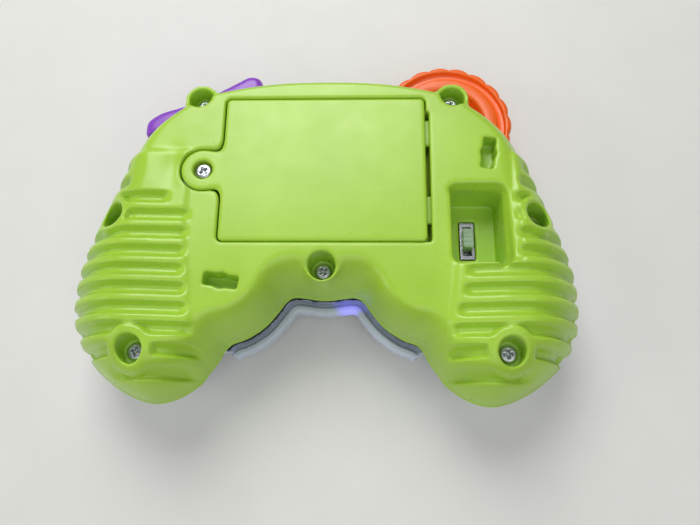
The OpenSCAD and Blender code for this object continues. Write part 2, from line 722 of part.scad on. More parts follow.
back_shell();
front_shell();
battery_door();
door_screw();
housing_screws();
click_wheel();
wheel_clicker();
rocker();
side_switches();
switch_board();
switch_can();
switch_knob();
switch_lead();
cell_1();
cell_2();
cell_3();
contact_springs();
contact_plates();
battery_lead_red();
battery_lead_black();
circuit_board();
main_chip();
board_parts();
board_screws();
keypad_membrane();
lamp_led();
light_dome();
speaker_basket();
speaker_cone();
speaker_magnet();
speaker_lead();
button_1();
button_2();
button_3();
button_4();
dpad();
dpad_pivot();
dpad_post();
stick_cap();
stick_shaft();
stick_gimbal();
stick_base();
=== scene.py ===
"""Looks of a toy game controller that lies on its front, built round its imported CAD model.

Lengths inside the shape functions are millimetres. A piece is turned into metres when its mesh is made.
"""

import math

import bpy
import numpy as np
from bpy.props import FloatProperty, FloatVectorProperty, PointerProperty
from mathutils import Matrix, Vector


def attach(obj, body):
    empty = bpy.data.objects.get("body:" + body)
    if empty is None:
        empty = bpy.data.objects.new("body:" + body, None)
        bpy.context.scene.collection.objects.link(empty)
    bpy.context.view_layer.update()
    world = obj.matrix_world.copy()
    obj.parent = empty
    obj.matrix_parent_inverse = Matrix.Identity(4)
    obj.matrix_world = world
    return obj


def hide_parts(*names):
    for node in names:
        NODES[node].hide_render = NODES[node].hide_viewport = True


bl_info = {
    "name": "Toy Game Controller",
    "version": (1, 0, 0),
    "blender": (4, 5, 0),
    "location": "3D View > Sidebar > Controller",
    "description": "Builds the moulded shells, controls and finishes of a toy game controller",
    "category": "Object",
}

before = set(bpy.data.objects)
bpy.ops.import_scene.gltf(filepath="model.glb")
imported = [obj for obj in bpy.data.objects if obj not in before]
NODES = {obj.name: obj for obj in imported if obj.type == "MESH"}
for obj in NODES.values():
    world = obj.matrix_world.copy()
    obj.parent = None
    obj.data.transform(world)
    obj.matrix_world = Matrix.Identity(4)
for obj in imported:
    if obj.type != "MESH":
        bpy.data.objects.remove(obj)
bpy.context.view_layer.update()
MM = 0.001

# ---- Measures shared by the pieces, in millimetres ----

SPLIT_Z, PLATE_Z, FACE_Z, WALL = 20.0, 40.0, 7.0, 2.2
# A height over the whole back half
ABOVE = 60.0
# Right half of the outline: x, y and the width over which the edge is rounded
HALF_OUTLINE = np.array([
    (0, 43.7, 5), (15, 43.2, 5), (28, 41.4, 5), (40, 38.2, 5), (50, 33, 6.5), (57.5, 26.8, 8),
    (62.6, 19.4, 10), (65.8, 10.7, 13), (69.1, 1.7, 15), (72.9, -8.3, 17), (75.8, -18.3, 18), (76.6, -27.3, 18),
    (75.7, -36.3, 18), (71.6, -44.3, 17), (64.3, -51.3, 16), (57, -56, 15), (50.5, -58, 14),
    (44, -56.6, 13), (37.5, -52.2, 12), (33, -47, 11), (31, -43.3, 10), (29, -40.6, 8.5), (24, -38.6, 7.5),
    (18.6, -34.8, 7), (14.6, -30, 7), (12.3, -26.9, 8), (9, -25.4, 9), (0, -26.4, 8.5)])
WAIST_START = 20
RIM_OUT = 3.3
# Screws of the case: x, y, seat of the head, lowest end of the tube in the back half
SCREWS = [(-40, 35.4, 31, 29.7), (40, 35.4, 31, 21.6), (-64.3, -4.1, 25.6, 20.2), (64.3, -4.1, 25.6, 20.2),
          (-53.2, -45.4, 34, 20.2), (53.2, -45.4, 34, 20.2), (0, -20.3, 30, 20.2)]
RECESS_R, HOLE_R, POST_R, TUBE_R = 3.8, 1.5, 3.6, 5.2
DOOR_Y, DOOR_L, DOOR_W, DOOR_T = 10.2, 62.0, 47.0, 2.0
EAR, EAR_R = (-37.0, 9.6), 6.6
TAB_Y, TAB_W = 12.8, 9.0
BAY_L, BAY_W, BAY_Z, TRAY_Z = 57.2, 45.0, 23.0, 21.5
WELL, WELL_W, WELL_L, WELL_Z = (46.0, -8.0), 15.4, 23.4, 25.0
SWITCH = (44.7, -8.3)
SLOTS, SLOT_Z = [(50.0, 15.0, -8.4), (-29.0, -25.3, 81.6)], 34.0
WHEEL, WHEEL_R, WHEEL_Z, WHEEL_T, LOBES = (40.0, 35.4), 22.5, 14.0, 7.0, 19
PIVOT, ROCKER_Z, ROCKER_T = (-40.0, 35.4), 14.0, 15.0
ROCKER = np.array([
    (-60.2, 27.6), (-61, 30.4), (-60.2, 33.4), (-56, 36.4), (-49.5, 38.6), (-43.5, 40.9), (-38.3, 43.6),
    (-31.1, 47.8), (-27.4, 49.9), (-24.2, 49.6), (-22.6, 47.6), (-22.2, 42.9), (-29, 39.9), (-34.6, 36.6),
    (-36.6, 31.2), (-42, 30.2), (-48, 30.4), (-55, 27.2)])
ROCKER_ROOM = np.array([(-64, 22), (-67, 34), (-50, 46), (-24, 56), (-16, 50), (-18.5, 38.6), (-30, 34),
                        (-48, 27), (-57, 21)])
BUTTONS = [(-32.0, -1.0), (-42.0, 9.0), (-52.0, -1.0), (-42.0, -11.0)]
BUTTON_R = 5.5
DPAD, DPAD_R = (42.0, -2.0), 13.0
STICK, STICK_R = (-17.0, -6.0), 7.0
LAMP, DOME_R = (17.0, -8.0), 8.0
SPEAKER, SPEAKER_R = (0.0, 24.0), 12.0
GRIP_PAD, PAD_R = (52.0, -35.0), 8.0
BOARD_SCREWS = [(-55, 8), (55, 8), (-30, -12.5), (30, -12.5)]
SIDE_SWITCHES = [(-49.6, 25.6), (-25.6, 36.6)]
SIDE_SWITCH_LEAN = 28
# Middle of each groove across a grip, from the top: y, inner end on the left, inner end on the right
GROOVES = [(0.4, 47, 57.5), (-5.35, 40.5, 57.5), (-11.05, 40.5, 57.5), (-16.75, 40.5, 57.5), (-22.4, 40.5, 42.5),
           (-28.1, 39.5, 41.5), (-33.9, 38.5, 39.5), (-39.65, 37, 38), (-45.45, 36, 37)]
GROOVE_W, RELIEF = 2.75, 1.8

# ---- Fields: how far a point is outside a shape, negative inside it ----


def smooth_union(a, b, k):
    """The lesser of two fields, rounded over a band k wide where they are close."""
    near = np.maximum(k - np.abs(a - b), 0.0) / k
    return np.minimum(a, b) - near * near * k / 4


def smooth_meet(a, b, k):
    """The greater of two fields, rounded over a band k wide where they are close."""
    return -smooth_union(-a, -b, k)


def cut(a, b, k=0.5):
    """Shape a without shape b, its new edge rounded over about k."""
    return smooth_meet(a, -b, k)


def ramp(low, high, value):
    """0 at low and 1 at high, by the smooth cubic 3t^2 - 2t^3 between them."""
    t = np.clip((value - low) / (high - low), 0.0, 1.0)
    return t * t * (3 - 2 * t)


def box_field(x, y, z, low, high, r=0.0):
    """Distance to a box: the length of the overhang past its sides, with its edges rounded by r."""
    mid = [(a + b) / 2 for a, b in zip(low, high)]
    q = [np.abs(c - m) - (b - m) + r for c, m, b in zip((x, y, z), mid, high)]
    out = np.sqrt(sum(np.maximum(c, 0) ** 2 for c in q))
    return out + np.minimum(np.maximum(np.maximum(q[0], q[1]), q[2]), 0) - r


def plan_box(x, y, cx, cy, w, l, r, turn=0.0):
    """Distance in plan to a rectangle w by l with corners of radius r, turned by an angle in degrees."""
    c, s = math.cos(math.radians(turn)), math.sin(math.radians(turn))
    u, v = (x - cx) * c + (y - cy) * s, (y - cy) * c - (x - cx) * s
    qu, qv = np.abs(u) - w / 2 + r, np.abs(v) - l / 2 + r
    return np.hypot(np.maximum(qu, 0), np.maximum(qv, 0)) + np.minimum(np.maximum(qu, qv), 0) - r


def disc(x, y, centre, r):
    """Distance in plan to a circle."""
    return np.hypot(x - centre[0], y - centre[1]) - r


def polygon_field(x, y, points):
    """Distance in plan to a closed polygon: the distance to its nearest side, negative where a line to the
    right crosses its sides an odd number of times. Gives also the nearest side and the place along it."""
    p = np.stack(np.broadcast_arrays(x, y), -1).reshape(-1, 1, 2)
    a, b = points[None, :, :2], np.roll(points[:, :2], -1, 0)[None]
    side = b - a
    t = np.clip(((p - a) * side).sum(-1) / (side ** 2).sum(-1), 0, 1)
    gap = ((p - a - t[..., None] * side) ** 2).sum(-1)
    near = gap.argmin(1)
    row = np.arange(len(near))
    with np.errstate(divide="ignore", invalid="ignore"):
        reach = a[..., 0] + (p[..., 1] - a[..., 1]) * side[..., 0] / side[..., 1]
    odd = (((a[..., 1] > p[..., 1]) != (b[..., 1] > p[..., 1])) & (p[..., 0] < reach)).sum(1) % 2 == 1
    shape = np.broadcast(x, y).shape
    distance = np.sqrt(gap[row, near]) * np.where(odd, -1, 1)
    return distance.reshape(shape), near.reshape(shape), t[row, near].reshape(shape)


def smooth_curve(points, steps):
    """A closed Catmull-Rom curve: between two points, the cubic that leaves each along the line of its
    neighbours."""
    a, b, c, d = (np.roll(points, s, 0)[:, None] for s in (1, 0, -1, -2))
    t = (np.arange(steps) / steps)[None, :, None]
    curve = 0.5 * (2 * b + (c - a) * t + (2 * a - 5 * b + 4 * c - d) * t ** 2 + (3 * b - a - 3 * c + d) * t ** 3)
    return curve.reshape(-1, points.shape[1])


def blurred(a, passes):
    """Each value replaced by the mean of itself and its neighbours in plan, a few times over."""
    for _ in range(passes):
        for axis in (0, 1):
            a = (np.roll(a, 1, axis) + 2 * a + np.roll(a, -1, axis)) / 4
    return a


class Plan:
    """The outline of the case on a grid in plan: distance d, rounded width w, share of the waist m."""

    def __init__(self, x, y):
        left = HALF_OUTLINE[-2:0:-1] * (-1, 1, 1)
        corners = np.concatenate([HALF_OUTLINE, left])
        count = len(corners)
        far = np.minimum(np.arange(count), count - np.arange(count))
        waist = np.clip(far - WAIST_START, 0.0, 1.0)[:, None]
        curve = smooth_curve(np.concatenate([corners, waist], 1), 5)
        self.d, near, t = polygon_field(x, y, curve)
        values = curve[near, 2:] * (1 - t[..., None]) + np.roll(curve, -1, 0)[near, 2:] * t[..., None]
        self.w = blurred(values[..., 0], 10)
        self.m = blurred(values[..., 1], 4)


def grip_rise(x, y):
    """How much higher the grips are than the back plate: a bell over each."""
    return 2.4 * np.exp(-((np.abs(x) - 54) / 13) ** 2 - ((y + 34) / 24) ** 2)


def bulk(plan, z, base, top, inset=0.0, width=1.0):
    """A body on the outline between two heights. Its section is the curve q^1.61 + p^2 = 1, where p goes from
    0 to 1 over the rounded width and q from base to top, and its field is divided by its own slope."""
    w = width * plan.w - 0.6 * inset
    p = np.maximum(0, 1 + (plan.d + inset) / w)
    span = top - base
    q = np.maximum(0, (z - base) / span)
    value = q ** 1.613 + p * p - 1
    slope = np.sqrt((1.613 * q ** 0.613 / span) ** 2 + (2 * p / w) ** 2)
    return np.clip(value / (slope + 0.004), -12, 12)


def union(*fields):
    """The least of several fields."""
    least = fields[0]
    for field in fields[1:]:
        least = np.minimum(least, field)
    return least


def tube(x, y, z, spot, r, low, high):
    """Distance to an upright cylinder between two heights."""
    return np.maximum(disc(x, y, spot, r), np.maximum(low - z, z - high))


# ---- From a field to a surface ----


def sampled(grid, low, pitch, points):
    """Values of a grid at points between its nodes, each the mean of the eight round it by nearness."""
    place = np.clip((points - low) / pitch, 0, np.array(grid.shape[:3]) - 1.001)
    cell = place.astype(np.int64)
    t = place - cell
    total = 0
    for corner in np.ndindex(2, 2, 2):
        share = np.prod(np.where(corner, t, 1 - t), axis=1)
        at = cell + corner
        value = grid[at[:, 0], at[:, 1], at[:, 2]]
        total = total + (value * share[:, None] if value.ndim > 1 else value * share)
    return total


def level_surface(field, low, high, pitch):
    """The surface where a field is nought. Each grid cell that it crosses gets one point, the mean of the
    crossings on the cell's edges, moved along the slope onto the surface, and each grid edge that it crosses
    joins the four cells round it by one face. Gives points, faces and a function for the slope at points."""
    low = np.array(low, float)
    count = [int(math.ceil((h - l) / pitch)) + 1 for l, h in zip(low, high)]
    x, y, z = np.meshgrid(*(l + pitch * np.arange(k) for l, k in zip(low, count)), indexing="ij", sparse=True)
    f = np.array(np.broadcast_to(field(x, y, z), count), np.float32)
    f[np.abs(f) < 1e-5] = 1e-5
    cells = [k - 1 for k in count]
    total = np.zeros(cells + [3], np.float32)
    found = np.zeros(cells, np.float32)
    quads = []
    for axis in range(3):
        one, two = [slice(None)] * 3, [slice(None)] * 3
        one[axis], two[axis] = slice(0, -1), slice(1, None)
        a, b = f[tuple(one)], f[tuple(two)]
        crossed = (a < 0) != (b < 0)
        t = np.where(crossed, a / np.where(crossed, a - b, 1), 0)
        others = [i for i in range(3) if i != axis]
        for u in (0, 1):
            for v in (0, 1):
                take = [slice(None)] * 3
                take[others[0]] = slice(u, count[others[0]] - 1 + u)
                take[others[1]] = slice(v, count[others[1]] - 1 + v)
                hit = crossed[tuple(take)]
                found += hit
                total[..., axis] += t[tuple(take)]
                total[..., others[0]] += hit * u
                total[..., others[1]] += hit * v
        # the four cells round each crossed edge, turning about its axis
        n1, n2 = (axis + 1) % 3, (axis + 2) % 3
        at = np.argwhere(crossed)
        at = at[(at[:, n1] > 0) & (at[:, n2] > 0) & (at[:, n1] < cells[n1]) & (at[:, n2] < cells[n2])]
        inside_first = a[tuple(at.T)] < 0
        corners = []
        for s1, s2 in ((-1, -1), (0, -1), (0, 0), (-1, 0)):
            c = at.copy()
            c[:, n1] += s1
            c[:, n2] += s2
            corners.append(np.ravel_multi_index(c.T, cells))
        quad = np.stack(corners, 1)
        quads.append(np.where(inside_first[:, None], quad, quad[:, ::-1]))
    used = np.flatnonzero(found.ravel())
    number = np.full(found.size, -1, np.int64)
    number[used] = np.arange(len(used))
    faces = number[np.concatenate(quads)]
    home = np.stack(np.unravel_index(used, cells), 1)
    points = low + pitch * (home + total.reshape(-1, 3)[used] / found.ravel()[used, None])
    slope = np.stack(np.gradient(f, pitch), -1).astype(np.float32)

    def slope_at(p):
        return sampled(slope, low, pitch, p)

    for _ in range(3):
        g = slope_at(points)
        step = sampled(f, low, pitch, points) / np.maximum((g ** 2).sum(1), 0.15)
        step = np.clip(step, -0.35 * pitch, 0.35 * pitch)
        points = points - 0.8 * step[:, None] * g
    return points, faces, slope_at


# ---- From a surface to an object ----


def new_object(name, points, faces):
    """An object at the origin from points in millimetres and equal-sided faces."""
    mesh = bpy.data.meshes.new(name)
    sides = faces.shape[1]
    mesh.vertices.add(len(points))
    mesh.vertices.foreach_set("co", (np.asarray(points, np.float64) * MM).astype(np.float32).ravel())
    mesh.loops.add(faces.size)
    mesh.loops.foreach_set("vertex_index", faces.astype(np.int32).ravel())
    mesh.polygons.add(len(faces))
    mesh.polygons.foreach_set("loop_start", np.arange(0, faces.size, sides, dtype=np.int32))
    mesh.update(calc_edges=True)
    mesh.validate()
    thing = bpy.data.objects.new(name, mesh)
    bpy.context.scene.collection.objects.link(thing)
    return thing


def moulded(name, field, low, high, pitch, keep=1.0):
    """An object from a field's surface, thinned to a share of its triangles and shaded by the field's slope,
    so that flat and softly curved plastic reads as smooth."""
    points, faces, slope_at = level_surface(field, low, high, pitch)
    thing = new_object(name, points, faces)
    if keep < 1:
        thinner = thing.modifiers.new("thinner", "DECIMATE")
        thinner.ratio = keep
        reader = bpy.context.evaluated_depsgraph_get()
        thin = bpy.data.meshes.new_from_object(thing.evaluated_get(reader))
        thing.modifiers.clear()
        old = thing.data
        thing.data = thin
        thin.name = name
        bpy.data.meshes.remove(old)
    mesh = thing.data
    co = np.empty(len(mesh.vertices) * 3, np.float32)
    mesh.vertices.foreach_get("co", co)
    normal = slope_at(co.reshape(-1, 3) / MM)
    normal /= np.maximum(np.linalg.norm(normal, axis=1, keepdims=True), 1e-6)
    mesh.polygons.foreach_set("use_smooth", np.ones(len(mesh.polygons), bool))
    mesh.normals_split_custom_set_from_vertices(normal)
    return thing


def turned(name, profile, centre, around=96, shape=None, sharp=35):
    """A closed surface turned about an upright axis: the profile's radius and height at each step, carried
    round a circle. shape(angle, radius) may change the radius. The two ends of the profile lie on the axis."""
    profile = np.array(profile, float)
    angle = np.linspace(0, 2 * math.pi, around, endpoint=False)
    radius = np.broadcast_to(profile[1:-1, 0][:, None], (len(profile) - 2, around))
    if shape is not None:
        radius = shape(angle[None], radius)
    ring = np.stack([centre[0] + radius * np.cos(angle), centre[1] + radius * np.sin(angle),
                     np.broadcast_to(profile[1:-1, 1][:, None], radius.shape)], -1)
    points = np.concatenate([ring.reshape(-1, 3), [[*centre, profile[0, 1]], [*centre, profile[-1, 1]]]])
    rows, k = len(profile) - 2, np.arange(around)
    j = (k + 1) % around
    walls = [np.stack([r * around + k, r * around + j, (r + 1) * around + j, (r + 1) * around + k], 1)
             for r in range(rows - 1)]
    first, last = rows * around, rows * around + 1
    low_cap = np.stack([np.full(around, first), j, k], 1)
    high_cap = np.stack([np.full(around, last), (rows - 1) * around + k, (rows - 1) * around + j], 1)
    quads = np.concatenate(walls)
    split = np.concatenate([quads[:, [0, 1, 2]], quads[:, [0, 2, 3]], low_cap, high_cap])
    thing = new_object(name, points, split)
    smooth_by_angle(thing, sharp)
    return thing


def smooth_by_angle(thing, degrees):
    """Smooth shading but for edges sharper than an angle."""
    mesh = thing.data
    mesh.polygons.foreach_set("use_smooth", np.ones(len(mesh.polygons), bool))
    mesh.set_sharp_from_angle(angle=math.radians(degrees))


def placed(thing, body, material, slot, *replaced):
    """Gives a piece its material, lets it ride on a body and stand for the CAD nodes. The slot is not used."""
    thing.data.materials.clear()
    thing.data.materials.append(material)
    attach(thing, body)
    if replaced:
        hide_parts(*replaced)
    return thing


# ---- Materials ----


def linear(text):
    """A colour given as sRGB hex, such as A5C84E, in linear light."""
    value = np.array([int(text[i:i + 2], 16) for i in (0, 2, 4)]) / 255
    value = np.where(value <= 0.04045, value / 12.92, ((value + 0.055) / 1.055) ** 2.4)
    return (*value.tolist(), 1.0)


def shade(colour, factor):
    """A linear colour made lighter or darker."""
    return (*(min(1.0, c * factor) for c in colour[:3]), 1.0)


def put(tree, kind, inputs=None, **settings):
    """Adds a node with its settings. An input is a value, or an output of another node to link to it."""
    made = tree.nodes.new(kind)
    for key, value in settings.items():
        setattr(made, key, value)
    for key, value in (inputs or {}).items():
        socket = made.inputs[key]
        if isinstance(value, bpy.types.NodeSocket):
            tree.links.new(value, socket)
        else:
            socket.default_value = value
    return made


def blank(name):
    """A material with an empty tree and its output node."""
    material = bpy.data.materials.get(name)
    if material:
        return material, None, None
    material = bpy.data.materials.new(name)
    material.use_nodes = True
    tree = material.node_tree
    tree.nodes.clear()
    return material, tree, put(tree, "ShaderNodeOutputMaterial")


def noise(tree, place, size_mm, detail=2.0, rough=0.5):
    """Noise whose blotches are about size_mm across."""
    return put(tree, "ShaderNodeTexNoise", {"Vector": place, "Scale": 1 / (size_mm * MM), "Detail": detail,
                                            "Roughness": rough})


def banded(tree, value, stops, ease=False):
    """Colour ramp from (place, colour) stops."""
    node = put(tree, "ShaderNodeValToRGB", {"Fac": value})
    ramp_ = node.color_ramp
    ramp_.interpolation = "EASE" if ease else "LINEAR"
    while len(ramp_.elements) < len(stops):
        ramp_.elements.new(0.5)
    for element, (at, colour) in zip(ramp_.elements, stops):
        element.position = at
        element.color = colour
    return node.outputs["Color"]


def grey(v):
    """A grey for a mask or a roughness."""
    return (v, v, v, 1.0)


def moulded_plastic(name, colour, rough=0.3, bump_mm=0.012, grain_mm=0.9, blotch=0.05, specks=0.0, coat=0.0,
                    depth=0.0, seen_through=0.0):
    """Injection-moulded ABS or similar: one even colour with faint flow clouds, the polish of the steel mould
    broken by a very fine grain and handling haze, and now and then a dark speck. The grain of the real
    surface is about 0.05 mm, which can't show, so it is drawn at grain_mm."""
    material, tree, out = blank(name)
    if tree is None:
        return material
    place = put(tree, "ShaderNodeTexCoord").outputs["Object"]
    clouds = noise(tree, place, 22, 3).outputs["Fac"]
    base = banded(tree, clouds, [(0.3, shade(colour, 1 - blotch)), (0.7, shade(colour, 1 + blotch))])
    if specks:
        cells = put(tree, "ShaderNodeTexVoronoi", {"Vector": place, "Scale": 1 / (9 * MM)}, feature="F1")
        spot = banded(tree, cells.outputs["Distance"], [(0.018, grey(specks)), (0.03, grey(0))])
        base = put(tree, "ShaderNodeMix", {"Factor": spot, 6: base, 7: linear("5A4A20")},
                   data_type="RGBA").outputs[2]
    haze = noise(tree, place, 7, 5, 0.65).outputs["Fac"]
    dull = banded(tree, haze, [(0.3, grey(max(rough - 0.05, 0.02))), (0.75, grey(rough + 0.08))])
    grain = noise(tree, place, grain_mm, 2).outputs["Fac"]
    waves = noise(tree, place, 14, 1).outputs["Fac"]
    fine = put(tree, "ShaderNodeBump", {"Height": grain, "Strength": 0.35, "Distance": bump_mm * MM})
    broad = put(tree, "ShaderNodeBump", {"Height": waves, "Strength": 0.6, "Distance": 0.12 * MM,
                                         "Normal": fine.outputs["Normal"]})
    shader = put(tree, "ShaderNodeBsdfPrincipled", {
        "Base Color": base, "Roughness": dull, "IOR": 1.53, "Normal": broad.outputs["Normal"],
        "Coat Weight": coat, "Subsurface Weight": depth, "Transmission Weight": seen_through})
    if depth:
        shader.inputs["Subsurface Radius"].default_value = (0.6, 0.8, 0.25)
        shader.inputs["Subsurface Scale"].default_value = 2.5 * MM
    tree.links.new(shader.outputs["BSDF"], out.inputs["Surface"])
    return material


def lime_shell():
    """Lime ABS with a satin polish: soft broad highlights, yellower where it is lit and greener in the folds."""
    look = bpy.context.scene.controller_case
    return moulded_plastic("Lime moulded ABS", (*look.lime, 1.0), rough=0.3, specks=0.55, depth=0.12)


def white_shell():
    """Bluish-white ABS, glossier than the lime, with a painted violet glow in the ledge where the lamp inside
    would shine through.
    """
    material = moulded_plastic("White moulded ABS", (*bpy.context.scene.controller_case.white, 1.0), rough=0.24)
    tree = material.node_tree
    shader = next(n for n in tree.nodes if n.type == "BSDF_PRINCIPLED")
    if shader.inputs["Emission Color"].is_linked:
        return material
    # painted glow: a soft violet emission spot 9 mm long on the thin ledge beside the middle of the waist,
    # painted in place of the lamp's light shining through
    place = put(tree, "ShaderNodeTexCoord").outputs["Object"]
    spot = put(tree, "ShaderNodeMapping", {"Vector": place, "Location": (-7.5 * MM / 0.0062, 28.3 * MM / 0.0028,
                                           -13.4 * MM / 0.004), "Scale": (1 / 0.0062, 1 / 0.0028, 1 / 0.004)})
    ball = put(tree, "ShaderNodeTexGradient", {"Vector": spot.outputs["Vector"]}, gradient_type="SPHERICAL")
    painted_glow = banded(tree, ball.outputs["Fac"], [(0.0, (0, 0, 0, 1)), (0.5, shade(linear("5A3CFF"), 0.55)),
                                              (1.0, linear("7A5CFF"))], True)
    tree.links.new(painted_glow, shader.inputs["Emission Color"])
    shader.inputs["Emission Strength"].default_value = 1.1
    return material


def zinc_steel(name="Zinc-plated steel", tint="C9CDD2", rough=0.22, brush_mm=0.35):
    """Bright zinc on cold-headed steel: a cool mirror broken by fine tool marks and small dull patches."""
    material, tree, out = blank(name)
    if tree is None:
        return material
    place = put(tree, "ShaderNodeTexCoord").outputs["Object"]
    patch = noise(tree, place, 1.6, 4, 0.6).outputs["Fac"]
    base = banded(tree, patch, [(0.3, shade(linear(tint), 0.82)), (0.65, linear(tint))])
    dull = banded(tree, patch, [(0.3, grey(rough + 0.16)), (0.7, grey(rough))])
    marks = noise(tree, place, brush_mm, 3).outputs["Fac"]
    bump = put(tree, "ShaderNodeBump", {"Height": marks, "Strength": 0.4, "Distance": 0.02 * MM})
    shader = put(tree, "ShaderNodeBsdfPrincipled", {"Base Color": base, "Metallic": 1.0, "Roughness": dull,
                                                    "Normal": bump.outputs["Normal"]})
    tree.links.new(shader.outputs["BSDF"], out.inputs["Surface"])
    return material


def board_laminate(name, mask_hex, track_hex):
    """Laminate with copper tracks under its lacquer: a glossy sheet with a faint angular net of lines about
    0.4 mm wide and 3 mm apart."""
    material, tree, out = blank(name)
    if tree is None:
        return material
    place = put(tree, "ShaderNodeTexCoord").outputs["Object"]
    net = put(tree, "ShaderNodeTexBrick", {"Vector": place, "Scale": 1 / (6 * MM), "Mortar Size": 0.035,
                                           "Color1": linear(mask_hex), "Color2": shade(linear(mask_hex), 1.15),
                                           "Mortar": linear(track_hex)})
    fine = noise(tree, place, 0.5, 2).outputs["Fac"]
    bump = put(tree, "ShaderNodeBump", {"Height": fine, "Strength": 0.3, "Distance": 0.02 * MM})
    shader = put(tree, "ShaderNodeBsdfPrincipled", {"Base Color": net.outputs["Color"], "Roughness": 0.28,
                                                    "IOR": 1.5, "Normal": bump.outputs["Normal"]})
    tree.links.new(shader.outputs["BSDF"], out.inputs["Surface"])
    return material


def soft_skin(name, hex_, rough=0.55, grain_mm=0.35):
    """Rubber, wire sleeve or coated paper: matt, with a dusty sheen and a fine grain."""
    material, tree, out = blank(name)
    if tree is None:
        return material
    place = put(tree, "ShaderNodeTexCoord").outputs["Object"]
    dust = noise(tree, place, 3, 4).outputs["Fac"]
    base = banded(tree, dust, [(0.3, shade(linear(hex_), 0.9)), (0.8, shade(linear(hex_), 1.18))])
    grain = noise(tree, place, grain_mm, 2).outputs["Fac"]
    bump = put(tree, "ShaderNodeBump", {"Height": grain, "Strength": 0.5, "Distance": 0.03 * MM})
    shader = put(tree, "ShaderNodeBsdfPrincipled", {"Base Color": base, "Roughness": rough, "IOR": 1.5,
                                                    "Sheen Weight": 0.1, "Normal": bump.outputs["Normal"]})
    tree.links.new(shader.outputs["BSDF"], out.inputs["Surface"])
    return material


# ---- Shapes of the case ----


def door_plan(x, y, grow):
    """Distance in plan to the battery door: a rectangle with small corners and a round ear that meets it in a
    hollow fillet, all grown by a gap."""
    plate = plan_box(x, y, 0.0, DOOR_Y, DOOR_L, DOOR_W, 1.6)
    return smooth_union(plate, disc(x, y, EAR, EAR_R), 5.5) - grow


def grip_relief(x, y, z):
    """How far the surface stands out of the plain body: crests at one height, grooves a relief lower, with
    soft sides. Grooves fade at their inner ends and stop at the collars round the screw holes."""
    ax = np.abs(x)
    side = ramp(46, 70, ax)
    start = 41.0 - 0.13 * np.clip(-8 - y, 0, 40)
    crest = ramp(start - 1.6, start + 1.2, ax) * ramp(17.5, 14.5, y) * (0.7 + 0.9 * side)
    crest = crest * np.where(x > 0, np.maximum(ramp(56, 58.5, ax), ramp(-18.5, -20.5, y)), 1.0)
    groove = 0.0
    for at, left, right in GROOVES:
        inner = np.where(x > 0, right, left)
        band = 1 - ramp(GROOVE_W / 2 - 0.5, GROOVE_W / 2 + 0.5, np.abs(y - at))
        groove = np.maximum(groove, band * ramp(inner - 1.6, inner + 1.6, ax))
    # three short grooves that only show at the outer edge, above the long ones
    for at, start in ((6.2, 59.5), (12.0, 61.5)):
        band = 1 - ramp(GROOVE_W / 2 - 0.75, GROOVE_W / 2 + 0.75, np.abs(y - at))
        groove = np.maximum(groove, band * ramp(start - 1.5, start + 1.5, ax))
    # the last groove is a crescent along the end of the grip
    bow = -51.6 + 0.004 * (ax - 50) ** 2
    band = 1 - ramp(0.6, 2.3, np.abs(y - bow))
    groove = np.maximum(groove, band * ramp(35, 41, ax) * ramp(62, 55, ax) * 0.9)
    for spot, r in (((64.3, -4.1), 6.2), ((53.2, -45.4), 7.0)):
        groove = groove * ramp(r - 0.5, r + 0.5, np.hypot(ax - spot[0], y - spot[1]))
    return crest - RELIEF * groove * ramp(19.5, 21.5, z)


